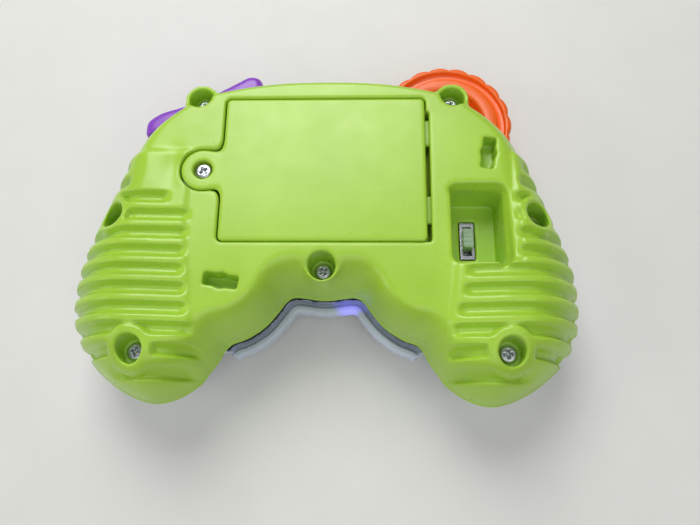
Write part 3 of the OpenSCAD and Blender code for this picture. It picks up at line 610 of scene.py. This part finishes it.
def back_field(x, y, z):
    """The back half: a rounded body with ribbed grips, screw collars and ears, hollowed to its wall, with the
    door's recess and bay, the switch well, the tie slots, the screw recesses and room for the side controls."""
    plan = Plan(x[..., 0], y[..., 0])
    plan.d, plan.w, plan.m = plan.d[..., None], plan.w[..., None], plan.m[..., None]
    top = PLATE_Z + grip_rise(x, y)
    body = bulk(plan, z, SPLIT_Z, top)
    skin = body - grip_relief(x, y, z)
    # thin lip where the two halves meet
    skin = skin - 0.35 * ramp(21.6, 21.0, z)
    for sx, sy, _, low in SCREWS[:2]:
        skin = smooth_union(skin, tube(x, y, z, (sx, sy), TUBE_R, low, 37.0), 1.8)
    # low collar round the middle screw
    collar = np.maximum(disc(x, y, (0, -20.3), TUBE_R - 0.5), z - 37.4)
    skin = smooth_union(skin, np.maximum(collar, 24 - z), 2.4)
    # soft dish beside the door's ear
    skin = skin + 0.7 * np.exp(-((x + 46) / 3.2) ** 2 - ((y - 10.5) / 6.5) ** 2) * ramp(36, 39, z)
    inner = bulk(plan, z, SPLIT_Z, PLATE_Z - WALL, WALL)
    # what stays solid inside: battery tray, walls of the well, sockets of the door, slots and screws
    tray_l, tray_w = BAY_L / 2 + 1.6, BAY_W / 2 + 1.6
    block_w, block_l = WELL_W / 2 + 1.8, WELL_L / 2 + 1.8
    solid = union(
        box_field(x, y, z, (-tray_l, DOOR_Y - tray_w, TRAY_Z), (tray_l, DOOR_Y + tray_w, ABOVE)),
        box_field(x, y, z, (WELL[0] - block_w, WELL[1] - block_l, WELL_Z - 2),
                  (WELL[0] + block_w, WELL[1] + block_l, ABOVE)),
        tube(x, y, z, EAR, 5.6, 27, ABOVE),
        box_field(x, y, z, (29, DOOR_Y - DOOR_W / 2 - 1.5, 31.5), (33.8, DOOR_Y + DOOR_W / 2 - 3, ABOVE)),
        *(np.maximum(plan_box(x, y, sx, sy, 7.2, 12.6, 0.3, turn), SLOT_Z - 1.2 - z) for sx, sy, turn in SLOTS),
        *(tube(x, y, z, (sx, sy), TUBE_R, low, ABOVE) for sx, sy, _, low in SCREWS))
    shell = np.maximum(skin, -np.maximum(inner, -solid))
    # door recess, its deep slot at the hinge side, bay and tab pockets
    shell = cut(shell, np.maximum(door_plan(x, y, 0.35), PLATE_Z - DOOR_T - z), 0.5)
    shell = cut(shell, box_field(x, y, z, (27, DOOR_Y - DOOR_W / 2 - 0.2, 33),
                                 (DOOR_L / 2 + 1.25, DOOR_Y + DOOR_W / 2 - 4.5, 50), 0.8), 0.4)
    shell = cut(shell, box_field(x, y, z, (-BAY_L / 2, DOOR_Y - BAY_W / 2, BAY_Z),
                                 (BAY_L / 2, DOOR_Y + BAY_W / 2, ABOVE), 0.8), 0.4)
    for s in (-1, 1):
        low, high = DOOR_Y + s * TAB_Y - TAB_W / 2 - 0.5, DOOR_Y + s * TAB_Y + TAB_W / 2 + 0.5
        shell = cut(shell, box_field(x, y, z, (27, low, 32.4), (34.6, high, PLATE_Z - WALL)), 0.3)
        shell = cut(shell, box_field(x, y, z, (27, low, 32.4), (31, high, 50)), 0.3)
    shell = cut(shell, tube(x, y, z, EAR, 4.1, 35, ABOVE), 0.3)
    shell = cut(shell, tube(x, y, z, EAR, 1.9, 28.4, ABOVE), 0.3)
    # switch well: steep walls that lean out a little, soft mouth on its far and outer sides
    lean = 0.035 * (z - WELL_Z)
    mouth = plan_box(x, y, *WELL, WELL_W - 0.6, WELL_L - 0.6, 2.0) - lean
    flare = 1.3 * ramp(36.5, 41.0, z) * np.maximum(ramp(50, 53, x), ramp(1, 3.6, y))
    shell = cut(shell, np.maximum(mouth - flare, WELL_Z - z), 1.1)
    shell = cut(shell, box_field(x, y, z, (SWITCH[0] - 2.5, SWITCH[1] - 6.4, WELL_Z - 4),
                                 (SWITCH[0] + 2.5, SWITCH[1] + 6.4, WELL_Z + 4)), 0.3)
    for sx, sy, turn in SLOTS:
        slot = plan_box(x, y, sx, sy, 3.8, 10.2, 0.35, turn)
        slot = smooth_union(slot, disc(x, y, (sx, sy), 2.4), 0.4)
        shell = cut(shell, np.maximum(slot, SLOT_Z - z), 0.45)
    for sx, sy, seat, _ in SCREWS:
        widen = 0.02 * np.clip(z - seat, 0, 20)
        shell = cut(shell, np.maximum(disc(x, y, (sx, sy), RECESS_R) - widen, seat - z), 0.9)
        shell = cut(shell, tube(x, y, z, (sx, sy), HOLE_R, seat - 5, seat + 1), 0.3)
        shell = cut(shell, tube(x, y, z, (sx, sy), POST_R + 0.3, 10, seat - 2), 0.3)
    shell = cut(shell, tube(x, y, z, WHEEL, WHEEL_R + 0.7, 10, WHEEL_Z + WHEEL_T + 0.4), 0.5)
    room = polygon_field(x[..., 0], y[..., 0], ROCKER_ROOM)[0][..., None]
    shell = cut(shell, np.maximum(room, z - ROCKER_Z - ROCKER_T - 0.6), 0.5)
    # at the waist the green wall reaches a little lower and hides the joint
    return np.maximum(shell, SPLIT_Z - 1.0 * ramp(0.2, 0.6, plan.m) - z)


def front_field(x, y, z):
    """The front half: a shallower rounded body whose waist runs out into a ledge with a raised bead, with feet
    under the grips, a speaker ring, screw posts and the openings of the controls."""
    plan = Plan(x[..., 0], y[..., 0])
    plan.d, plan.w, plan.m = plan.d[..., None], plan.w[..., None], plan.m[..., None]
    green = plan.d
    plan.d = plan.d + 0.5 - (RIM_OUT + 0.5) * ramp(0.0, 0.5, plan.m)
    body = bulk(plan, -z, -SPLIT_Z, -FACE_Z, 0.0, 0.6)
    # a ledge outside the green half, and the bead along its edge
    step = np.maximum(-(green + 0.3), 11.6 - z)
    skin = cut(body, np.maximum(step, 0.25 - plan.m), 0.5)
    bead = box_field(green - RIM_OUT + 0.75, z - 12.6, 0.0, (-0.9, -2.2, -1), (0.9, 2.2, 1)) - 0.35
    skin = smooth_union(skin, np.maximum(bead, (0.2 - plan.m) * 4), 0.6)
    ax = np.abs(x)
    foot = np.hypot(ax - GRIP_PAD[0], y - GRIP_PAD[1])
    skin = smooth_union(skin, np.maximum(foot - PAD_R - 0.83 * z, np.maximum(-z, z - 9)), 2.0)
    ring = disc(x, y, SPEAKER, 13.4)
    skin = smooth_union(skin, np.maximum(ring - 0.15 * z, np.maximum(-z, z - 8)), 1.2)
    # low rings round the buttons, the direction pad and the stick
    for spot, r in (((-42, -1), 18.6), (DPAD, 16.6), (STICK, 9.2), (LAMP, 9.6)):
        bank = np.hypot(np.abs(disc(x, y, spot, r)), z - FACE_Z) - 0.75
        skin = smooth_union(skin, bank, 1.0)
    skin = np.maximum(skin, np.maximum(z - SPLIT_Z, -z))
    plan.d = plan.d + WALL
    inner = np.maximum(bulk(plan, -z, -SPLIT_Z - 1, -FACE_Z - WALL, 0.0, 0.6), -(z - FACE_Z - WALL))
    inner = inner + np.maximum(green + 1.4, 0.0) * plan.m
    posts = union(
        *(tube(x, y, z, (sx, sy), POST_R, FACE_Z, seat - 2.3) for sx, sy, seat, _ in SCREWS),
        *(tube(x, y, z, spot, 2.2, FACE_Z, 15.0) for spot in BOARD_SCREWS),
        *(tube(x, y, z, (sx, sy), TUBE_R, FACE_Z, WHEEL_Z - 0.6) for sx, sy, *_ in SCREWS[:2]))
    hollow_foot = np.maximum(foot - PAD_R + 0.6 - 0.72 * (z - WALL), WALL - z)
    shell = np.maximum(skin, -np.maximum(np.minimum(inner, np.maximum(hollow_foot, z - 10)), -posts))
    shell = np.maximum(shell, -np.maximum(disc(x, y, SPEAKER, SPEAKER_R + 0.3), WALL - z))
    # room for the wheel and the rocker round their posts
    wheel = np.maximum(tube(x, y, z, WHEEL, WHEEL_R + 0.7, WHEEL_Z - 0.5, 30), -disc(x, y, WHEEL, POST_R))
    shell = cut(shell, wheel, 0.4)
    room = polygon_field(x[..., 0], y[..., 0], ROCKER_ROOM)[0][..., None]
    kept = union(disc(x, y, PIVOT, POST_R),
                 *(plan_box(x, y, *spot, 7, 9, 0.2, SIDE_SWITCH_LEAN) for spot in SIDE_SWITCHES))
    rocker = np.maximum(np.maximum(room, ROCKER_Z - 0.6 - z), -kept)
    shell = cut(shell, rocker, 0.4)
    for spot in BUTTONS:
        shell = cut(shell, tube(x, y, z, spot, BUTTON_R + 0.35, -5, FACE_Z + 8), 0.5)
    arms = np.minimum(plan_box(x, y, *DPAD, 2 * DPAD_R + 1.8, 9.8, 1.0), plan_box(x, y, *DPAD, 9.8, 2 * DPAD_R
                      + 1.8, 1.0))
    shell = cut(shell, np.maximum(arms, z - FACE_Z - 6), 0.5)
    shell = cut(shell, tube(x, y, z, STICK, 4.8, -5, FACE_Z + 6), 0.5)
    shell = cut(shell, tube(x, y, z, LAMP, DOME_R + 0.25, -5, FACE_Z + 6), 0.5)
    for k in (1, 2, 3):
        for i in range(6 * k):
            a = math.radians(60 * i / k)
            hole = (SPEAKER[0] + 3 * k * math.cos(a), SPEAKER[1] + 3 * k * math.sin(a))
            shell = cut(shell, tube(x, y, z, hole, 0.95, -5, 5), 0.4)
    for sx, sy, seat, _ in SCREWS:
        shell = np.maximum(shell, -tube(x, y, z, (sx, sy), 1.3, seat - 12, seat))
    return shell


def door_field(x, y, z):
    """The battery door: a flat plate with its ear, rounded along its top edge, with a stepped hole for its
    screw and two hooked tabs."""
    plan = door_plan(x, y, 0.0)
    plate = smooth_meet(plan, np.maximum(z - PLATE_Z, PLATE_Z - DOOR_T - z), 0.9)
    boss = tube(x, y, z, EAR, 3.6, 35.6, 38.5)
    door = smooth_union(plate, boss, 0.3)
    for s in (-1, 1):
        low, high = DOOR_Y + s * TAB_Y - TAB_W / 2, DOOR_Y + s * TAB_Y + TAB_W / 2
        door = np.minimum(door, box_field(x, y, z, (29, low, 35.7), (33.6, high, 37.3), 0.4))
        door = np.minimum(door, box_field(x, y, z, (29, low, 35.7), (30.6, high, 38.7), 0.3))
    door = cut(door, tube(x, y, z, EAR, 2.95, 37.2, 50), 0.7)
    return cut(door, tube(x, y, z, EAR, 1.6, 30, 50), 0.3)


def rocker_field(x, y, z):
    """The shoulder rocker: its outline in plan, rounded over its top and bottom edges, with a round seat."""
    curve = smooth_curve(ROCKER, 4)
    plan = polygon_field(x[..., 0], y[..., 0], curve)[0][..., None]
    crown = 0.5 * np.cos((x + 40) / 24)
    body = smooth_meet(plan, np.abs(z - ROCKER_Z - ROCKER_T / 2) - ROCKER_T / 2 + 0.5 - crown, 3.2)
    return cut(body, tube(x, y, z, PIVOT, POST_R + 0.1, 0, 60), 0.4)


def screw_field(x, y, z):
    """A pan-head screw on the plane z = 0: a crowned head with a soft cross recess that narrows downwards, and
    a plain shank that ends in a cone."""
    r = np.hypot(x, y)
    head = smooth_meet(r - 2.55 + 0.1 * np.maximum(z, 0), z - 1.62 + 0.03 * r * r, 0.5)
    head = np.maximum(head, -z)
    shank = np.maximum(np.maximum(r - 1.3, r - 1.3 - 0.7 * (z + 5.2)), np.maximum(-z - 6.6, z - 0.5))
    body = np.minimum(head, shank)
    depth = 1.75 - z
    arm = 0.42 - 0.14 * depth
    reach = 1.5 - 0.55 * depth
    cross = np.minimum(np.maximum(np.abs(x) - arm, np.abs(y) - reach), np.maximum(np.abs(y) - arm,
                       np.abs(x) - reach))
    cross = smooth_union(cross, r - 0.75 + 0.3 * depth, 0.25)
    return cut(body, np.maximum(cross, 0.35 - z), 0.16)


def dpad_field(x, y, z):
    """The direction pad: a cross with rounded edges on a thin disc, with a ball socket in its back."""
    u, v = x - DPAD[0], y - DPAD[1]
    arms = smooth_union(plan_box(x, y, *DPAD, 24, 8, 1.4), plan_box(x, y, *DPAD, 8, 24, 1.4), 1.2)
    dish = 0.5 * np.exp(-(u ** 2 + v ** 2) / 22)
    body = smooth_meet(arms, np.maximum(3.2 + dish - z, z - 10.6), 1.6)
    body = np.minimum(body, tube(x, y, z, DPAD, DPAD_R - 1.2, 10.3, 11.5))
    body = np.minimum(body, tube(x, y, z, DPAD, 3.2, 11.4, 12.6))
    # an arrow-shaped dent in each arm
    for du, dv in ((1, 0), (-1, 0), (0, 1), (0, -1)):
        a, b = u * du + v * dv, np.abs(v * du - u * dv)
        dent = np.maximum(np.maximum(7.2 - a, a - 9.6), b - (9.9 - a) * 0.9)
        body = cut(body, np.maximum(dent, z - 3.75), 0.3)
    return np.maximum(body, -(np.sqrt(u ** 2 + v ** 2 + (z - 12) ** 2) - 2.1))


def knob_field(x, y, z):
    """The slide switch's knob: a foot in the switch, a neck and a block with softly rounded edges and three
    shallow grip lines."""
    u, v = x - SWITCH[0], y - SWITCH[1]
    foot = box_field(u, v, z, (-1.6, -2.5, 20.8), (1.6, 2.5, 23.4), 0.1)
    neck = box_field(u, v, z, (-1.2, -1.6, 23), (1.2, 1.6, 26))
    block = box_field(u, v, z, (-1.65, -3.1, 24.9), (1.65, 3.1, 28.2), 0.45)
    knob = np.minimum(foot, smooth_union(neck, block, 0.2))
    for k in (-1, 0, 1):
        knob = cut(knob, np.hypot(v - 1.5 * k, z - 28.55) - 0.5, 0.15)
    return knob


# ---- Settings ----


class ControllerCase(bpy.types.PropertyGroup):
    """Colours and fineness of the case."""

    lime: FloatVectorProperty(name="Lime", description="Colour of the back half and the battery door",
                              subtype="COLOR", size=3, min=0, max=1, default=linear("A9D33E")[:3])
    white: FloatVectorProperty(name="White", description="Colour of the front half", subtype="COLOR", size=3,
                               min=0, max=1, default=linear("CBD5E6")[:3])
    pitch: FloatProperty(name="Fineness", description="Spacing of the grid that the back half is worked out on",
                         subtype="DISTANCE", unit="LENGTH", default=0.00055, min=0.0004, max=0.002)


class ControllerControls(bpy.types.PropertyGroup):
    """Colours and shapes of the moving controls."""

    orange: FloatVectorProperty(name="Wheel", description="Colour of the click wheel", subtype="COLOR", size=3,
                                min=0, max=1, default=linear("FF6A10")[:3])
    purple: FloatVectorProperty(name="Rocker", description="Colour of the shoulder rocker", subtype="COLOR",
                                size=3, min=0, max=1, default=linear("8E45C8")[:3])
    lobe: FloatProperty(name="Lobe depth", description="How deep the wheel's edge is scalloped",
                        subtype="DISTANCE", unit="LENGTH", default=0.0009, min=0, max=0.002)


class ControllerStage(bpy.types.PropertyGroup):
    """Floor and light."""

    floor: FloatVectorProperty(name="Floor", description="Colour of the floor", subtype="COLOR", size=3, min=0,
                               max=1, default=linear("E4E3DE")[:3])
    key: FloatProperty(name="Key light", description="Power of the main soft light", unit="POWER", default=3.5,
                       min=0, max=100)
    fill: FloatProperty(name="Fill light", description="Power of the soft light overhead", unit="POWER",
                        default=2.4, min=0, max=100)


# ---- Operators, one for each piece or group ----


class CONTROLLER_OT_back(bpy.types.Operator):
    """Moulds the back half of the case with its ribbed grips"""

    bl_idname = "controller.back"
    bl_label = "Back half"

    def execute(self, context):
        pitch = context.scene.controller_case.pitch / MM
        thing = moulded("back_half", back_field, (-79.6, -60.5, 18.2), (79.6, 46, 45), pitch, 0.6)
        placed(thing, "case", lime_shell(), "lime_plastic", "back_shell")
        return {"FINISHED"}


class CONTROLLER_OT_door(bpy.types.Operator):
    """Moulds the battery door with the stepped hole for its screw in the ear"""

    bl_idname = "controller.door"
    bl_label = "Battery door"

    def execute(self, context):
        thing = moulded("door_plate", door_field, (-45, -14.5, 34.5), (35, 35, 41), 0.4, 0.3)
        placed(thing, "battery_door", lime_shell(), "lime_plastic", "battery_door")
        return {"FINISHED"}


class CONTROLLER_OT_front(bpy.types.Operator):
    """Moulds the front half of the case with its ledge at the waist"""

    bl_idname = "controller.front"
    bl_label = "Front half"

    def execute(self, context):
        thing = moulded("front_half", front_field, (-79, -61.5, -0.9), (79, 46, 35.3), 0.62, 0.5)
        placed(thing, "case", white_shell(), "white_plastic", "front_shell")
        return {"FINISHED"}


class CONTROLLER_OT_screws(bpy.types.Operator):
    """Puts a cross-head screw in each screw tube and in the door"""

    bl_idname = "controller.screws"
    bl_label = "Screws"

    def execute(self, context):
        points, faces, slope_at = level_surface(screw_field, (-2.9, -2.9, -7), (2.9, 2.9, 2.1), 0.16)
        spots = [(sx, sy, seat) for sx, sy, seat, _ in SCREWS]
        turns = np.radians([20, 65, 12, 48, 80, 5, 38])
        self.screw_set("case_screws", points, faces, spots, turns, "case", "housing_screws")
        self.screw_set("ear_screw", points, faces, [(*EAR, 37.25)], np.radians([33]), "door_screw", "door_screw")
        return {"FINISHED"}

    def screw_set(self, name, points, faces, spots, turns, body, node):
        """Copies of one screw, each turned about its own axis and moved to its seat."""
        c, s = np.cos(turns)[:, None], np.sin(turns)[:, None]
        x = points[None, :, 0] * c - points[None, :, 1] * s
        y = points[None, :, 0] * s + points[None, :, 1] * c
        z = np.broadcast_to(points[None, :, 2], x.shape)
        every = np.stack([x, y, z], -1) + np.array(spots, float)[:, None]
        faces = faces[None] + (np.arange(len(spots)) * len(points))[:, None, None]
        thing = new_object(name, every.reshape(-1, 3), faces.reshape(-1, 4))
        smooth_by_angle(thing, 40)
        placed(thing, body, zinc_steel(), "zinc_screw", node)


class CONTROLLER_OT_wheel(bpy.types.Operator):
    """Turns the click wheel with its scalloped edge, groove and web"""

    bl_idname = "controller.wheel"
    bl_label = "Click wheel"

    def execute(self, context):
        look = context.scene.controller_controls
        depth = look.lobe / MM
        z, t, hub = WHEEL_Z, WHEEL_T, POST_R + 0.1
        # the bore is a second wall of the same profile, so the profile runs round it and closes on itself
        profile = [(hub, z + 3), (hub, z + 0.4), (hub + 0.4, z), (20.6, z), (21.7, z + 0.3), (22.35, z + 1.0),
                   (22.5, z + 2.0), (22.5, z + t - 2.0), (22.35, z + t - 1.0), (21.8, z + t - 0.25),
                   (20.9, z + t), (20.3, z + t - 0.1), (20.05, z + t - 0.5), (19.9, z + t - 1.4),
                   (19.5, z + t - 1.6), (18.0, z + t - 1.6), (17.6, z + t - 1.4), (17.45, z + t - 0.5),
                   (17.2, z + t - 0.1), (16.6, z + t), (14.0, z + t), (13.3, z + t - 0.2), (13.0, z + t - 0.8),
                   (12.8, z + 3.1), (12.3, z + 2.6), (11.6, z + 2.5), (6.6, z + 2.5), (6.1, z + 2.7),
                   (5.9, z + 3.1), (5.8, z + t - 0.5), (5.4, z + t), (hub + 0.4, z + t), (hub, z + t - 0.4),
                   (hub, z + 3)]
        thing = self.ring("wheel", profile, depth)
        finish = moulded_plastic("Orange moulded ABS", (*look.orange, 1.0), rough=0.34, depth=0.15, coat=0.1)
        placed(thing, "click_wheel", finish, "orange_plastic", "click_wheel")
        return {"FINISHED"}

    def ring(self, name, profile, depth):
        """A closed profile carried round the axis. Outside 20 mm the radius is less by the depth times
        1 - |cos(n a / 2)|^0.6, which gives round lobes with narrow notches between them."""
        profile = np.array(profile[:-1], float)
        around = LOBES * 24
        a = np.linspace(0, 2 * math.pi, around, endpoint=False)[None]
        radius = np.repeat(profile[:, 0][:, None], around, 1)
        share = ramp(20.2, 21.6, radius)
        radius = radius - depth * share * (1 - np.abs(np.cos(LOBES * a / 2)) ** 0.6)
        z = np.repeat(profile[:, 1][:, None], around, 1)
        points = np.stack([WHEEL[0] + radius * np.cos(a), WHEEL[1] + radius * np.sin(a), z], -1).reshape(-1, 3)
        rows = len(profile)
        r, k = np.meshgrid(np.arange(rows), np.arange(around), indexing="ij")
        r2, k2 = (r + 1) % rows, (k + 1) % around
        faces = np.stack([r * around + k, r * around + k2, r2 * around + k2, r2 * around + k], -1).reshape(-1, 4)
        thing = new_object(name, points, faces)
        smooth_by_angle(thing, 50)
        return thing


class CONTROLLER_OT_rocker(bpy.types.Operator):
    """Moulds the purple shoulder rocker"""

    bl_idname = "controller.rocker"
    bl_label = "Shoulder rocker"

    def execute(self, context):
        look = context.scene.controller_controls
        thing = moulded("shoulder_rocker", rocker_field, (-62.5, 25.5, 13), (-21, 51.5, 30.5), 0.45, 0.5)
        finish = moulded_plastic("Purple moulded ABS", (*look.purple, 1.0), rough=0.3, depth=0.1)
        placed(thing, "rocker", finish, "purple_plastic", "rocker")
        return {"FINISHED"}


class CONTROLLER_OT_switch(bpy.types.Operator):
    """Moulds the slide switch's knob"""

    bl_idname = "controller.switch"
    bl_label = "Slide switch"

    def execute(self, context):
        x, y = SWITCH
        thing = moulded("slide_knob", knob_field, (x - 2.2, y - 3.6, 20.4), (x + 2.2, y + 3.6, 28.7), 0.14, 0.6)
        finish = moulded_plastic("Natural acetal", linear("9DB49A"), rough=0.35, depth=0.35, grain_mm=0.5)
        placed(thing, "switch_knob", finish, "knob_plastic", "switch_knob")
        return {"FINISHED"}


class CONTROLLER_OT_face(bpy.types.Operator):
    """Turns and moulds the controls of the front face"""

    bl_idname = "controller.face"
    bl_label = "Front controls"

    def execute(self, context):
        colours = [("yellow", "F8C81E"), ("red", "E23A2C"), ("blue", "2A8FE0"), ("green", "35B24C")]
        r = BUTTON_R
        for k, (spot, (word, hex_)) in enumerate(zip(BUTTONS, colours), 1):
            profile = [(0, 3.35), (1.5, 3.33), (3.0, 3.22), (4.0, 3.05), (4.7, 3.0), (5.15, 3.15), (5.42, 3.5),
                       (r, 4.0), (r, 9.7), (r + 0.9, 9.7), (r + 1, 9.8), (r + 1, 10.6), (r + 0.9, 10.7),
                       (2.6, 10.7), (2.6, 11.7), (2.5, 11.8), (0, 11.8)]
            thing = turned(f"round_button_{k}", profile, spot)
            finish = moulded_plastic(f"{word.capitalize()} moulded ABS", linear(hex_), rough=0.25)
            placed(thing, f"button_{k}", finish, f"button_{word}", f"button_{k}")
        thing = moulded("direction_pad", dpad_field, (28.5, -15.5, 2.5), (55.5, 11.5, 13.2), 0.35, 0.5)
        finish = moulded_plastic("Blue moulded ABS", linear("2F5BD8"), rough=0.26)
        placed(thing, "dpad", finish, "dpad_blue", "dpad")
        cap = [(0, 2.75), (2.5, 2.7), (4.4, 2.45), (5.2, 2.2), (6.0, 2.25), (6.6, 2.5), (6.95, 3.0), (7.0, 3.6),
               (6.95, 4.1), (6.7, 4.38), (0, 4.4)]

        def knurled(a, q):
            """36 shallow flutes round the edge."""
            return q - 0.12 * ramp(6.3, 7, q) * (np.cos(36 * a) > 0)

        thing = turned("stick_top", cap, STICK, shape=knurled, around=288)
        finish = moulded_plastic("Violet moulded ABS", linear("7A5CD6"), rough=0.3)
        placed(thing, "stick", finish, "stick_violet", "stick_cap")
        s = np.linspace(0, 1, 14)[1:]
        # a shallow cap of a sphere, then its wall and its flange
        dome = [(0, 1.62)] + [(7.9 * math.sin(q * 1.45) / math.sin(1.45), 1.62 + 4.4 * (1 - math.cos(q * 1.45)))
                              for q in s]
        dome += [(8.0, 9.2), (9.0, 9.3), (9.0, 10.4), (8, 10.5), (6.6, 10.5), (6.2, 8.5), (4.5, 5.6), (0, 4.6)]
        thing = turned("light_cover", dome, LAMP)
        glassy = moulded_plastic("Milky polycarbonate", linear("E3DCF5"), rough=0.2, depth=0.4, coat=0.3)
        placed(thing, "case", glassy, "dome_plastic", "light_dome")
        return {"FINISHED"}


class CONTROLLER_OT_inside(bpy.types.Operator):
    """Finishes the parts that stay as the CAD model has them"""

    bl_idname = "controller.inside"
    bl_label = "Inner parts"

    def execute(self, context):
        spring = zinc_steel("Nickel-plated spring steel", "BDBBB4", 0.28)
        tin = zinc_steel("Tinned steel", "D8DADD", 0.2)
        black = moulded_plastic("Black moulded ABS", linear("1C1C1E"), rough=0.4)
        wire = soft_skin("Black PVC wire", "161617", 0.4)
        natural = moulded_plastic("Ivory acetal", linear("E6E0CC"), rough=0.35, depth=0.2)
        sleeve = self.cell_sleeve()
        finishes = {
            "wheel_clicker": spring, "contact_springs": spring, "contact_plates": spring, "dpad_pivot": spring,
            "switch_can": tin, "speaker_magnet": tin, "board_screws": zinc_steel(),
            "side_switches": black, "main_chip": black, "speaker_basket": black, "stick_base": black,
            "switch_lead": wire, "battery_lead_black": wire, "speaker_lead": wire,
            "battery_lead_red": soft_skin("Red PVC wire", "B01810", 0.4),
            "cell_1": sleeve, "cell_2": sleeve, "cell_3": sleeve,
            "switch_board": board_laminate("Phenolic board", "7A4E1E", "9A6A30"),
            "circuit_board": board_laminate("Glass fibre board", "14532D", "2E7A48"),
            "board_parts": soft_skin("Small components", "3A312A", 0.45),
            "keypad_membrane": soft_skin("Silicone rubber", "DCDAD2", 0.6),
            "lamp_led": moulded_plastic("Tinted epoxy", linear("7248F0"), rough=0.12, depth=0.3),
            "speaker_cone": soft_skin("Coated paper", "201D1A", 0.6, 0.8),
            "dpad_post": natural, "stick_shaft": natural, "stick_gimbal": natural,
        }
        for name, finish in finishes.items():
            materials = NODES[name].data.materials
            if not materials:
                materials.append(finish)
            for k in range(len(materials)):
                materials[k] = finish
        return {"FINISHED"}

    def cell_sleeve(self):
        """Printed shrink sleeve over a steel can: plain graphite body with a copper-coloured band at the plus
        end and bare steel ends."""
        material, tree, out = blank("Shrink sleeve")
        if tree is None:
            return material
        place = put(tree, "ShaderNodeTexCoord").outputs["Object"]
        axis = put(tree, "ShaderNodeSeparateXYZ", {"Vector": place}).outputs["X"]
        along = put(tree, "ShaderNodeMath", {0: axis, 1: 1 / 0.0502}, operation="MULTIPLY_ADD")
        along.inputs[2].default_value = 0.5
        base = banded(tree, along.outputs[0], [(0.0, linear("B9BBBD")), (0.02, linear("2A2B30")),
                                               (0.7, linear("2A2B30")), (0.72, linear("B0703A")),
                                               (0.955, linear("B0703A")), (0.97, linear("B9BBBD"))])
        haze = noise(tree, place, 2, 3).outputs["Fac"]
        dull = banded(tree, haze, [(0.3, grey(0.25)), (0.8, grey(0.4))])
        shader = put(tree, "ShaderNodeBsdfPrincipled", {"Base Color": base, "Roughness": dull, "IOR": 1.5,
                                                        "Coat Weight": 0.3})
        tree.links.new(shader.outputs["BSDF"], out.inputs["Surface"])
        return material


class CONTROLLER_OT_stage(bpy.types.Operator):
    """Lays the floor and sets the lights and the camera"""

    bl_idname = "controller.stage"
    bl_label = "Stage"

    def execute(self, context):
        scene = context.scene
        look = scene.controller_stage
        u = np.linspace(-2000, 2000, 9)
        x, y = np.meshgrid(u, u, indexing="ij")
        points = np.stack([x, y, np.full_like(x, -0.1)], -1).reshape(-1, 3)
        i, j = np.meshgrid(np.arange(8), np.arange(8), indexing="ij")
        a = (i * 9 + j).ravel()
        floor = new_object("floor", points, np.stack([a, a + 9, a + 10, a + 1], 1))
        floor.data.materials.append(moulded_plastic("Pale table", (*look.floor, 1.0), rough=0.6, blotch=0.015))
        self.area("key", (-0.10, 0.46, 0.60), (0, 0, 0.02), 0.42, look.key)
        self.area("fill", (0.12, -0.42, 0.72), (0, 0, 0.02), 0.8, look.fill)
        self.area("side", (-0.75, -0.15, 0.45), (0, 0, 0.02), 0.5, look.fill * 0.5)
        world = bpy.data.worlds.new("Soft room")
        scene.world = world
        world.use_nodes = True
        back = world.node_tree.nodes["Background"]
        back.inputs["Color"].default_value = linear("EDF0F4")
        back.inputs["Strength"].default_value = 0.24
        scene.view_settings.view_transform = "Standard"
        self.camera(scene)
        return {"FINISHED"}

    def area(self, name, at, target, size, power):
        """A square soft light that faces a point."""
        data = bpy.data.lights.new(name, "AREA")
        data.shape, data.size, data.energy = "SQUARE", size, power
        lamp = bpy.data.objects.new(name, data)
        bpy.context.scene.collection.objects.link(lamp)
        lamp.location = at
        lamp.rotation_euler = (Vector(target) - Vector(at)).to_track_quat("-Z", "Y").to_euler()

    def camera(self, scene):
        """The camera's place and turn, found from the door's corners and the pairs of screws."""
        data = bpy.data.cameras.new("camera")
        data.sensor_width, data.lens = 36.0, 620 / 700 * 36
        data.clip_start, data.clip_end = 0.01, 20
        camera = bpy.data.objects.new("camera", data)
        scene.collection.objects.link(camera)
        turn = (Matrix.Rotation(math.radians(0.677), 4, "Z") @ Matrix.Rotation(math.radians(1.761), 4, "Y")
                @ Matrix.Rotation(math.radians(16.686), 4, "X"))
        camera.matrix_world = Matrix.Translation((0.01425, -0.07126, 0.21126)) @ turn
        scene.camera = camera


class CONTROLLER_PT_panel(bpy.types.Panel):
    """Lists the pieces and their settings"""

    bl_label = "Toy Controller"
    bl_idname = "CONTROLLER_PT_panel"
    bl_space_type = "VIEW_3D"
    bl_region_type = "UI"
    bl_category = "Controller"

    def draw(self, context):
        for group in (context.scene.controller_case, context.scene.controller_controls,
                      context.scene.controller_stage):
            box = self.layout.box()
            for key in group.__annotations__:
                box.prop(group, key)
        for step in STEPS:
            self.layout.operator(step.bl_idname)


STEPS = [CONTROLLER_OT_stage, CONTROLLER_OT_back, CONTROLLER_OT_door, CONTROLLER_OT_front, CONTROLLER_OT_screws,
         CONTROLLER_OT_wheel, CONTROLLER_OT_rocker, CONTROLLER_OT_switch, CONTROLLER_OT_face,
         CONTROLLER_OT_inside]
GROUPS = {"controller_case": ControllerCase, "controller_controls": ControllerControls,
          "controller_stage": ControllerStage}


def register():
    """Registers the groups, operators and panel, and hangs the groups on the scene."""
    for key, group in GROUPS.items():
        bpy.utils.register_class(group)
        setattr(bpy.types.Scene, key, PointerProperty(type=group))
    for step in STEPS:
        bpy.utils.register_class(step)
    bpy.utils.register_class(CONTROLLER_PT_panel)


def unregister():
    """Takes away what register added."""
    bpy.utils.unregister_class(CONTROLLER_PT_panel)
    for step in reversed(STEPS):
        bpy.utils.unregister_class(step)
    for key, group in GROUPS.items():
        delattr(bpy.types.Scene, key)
        bpy.utils.unregister_class(group)


def main():
    """Builds everything."""
    register()
    for step in STEPS:
        getattr(bpy.ops.controller, step.bl_idname.split(".")[1])()


if __name__ == "__main__":
    main()
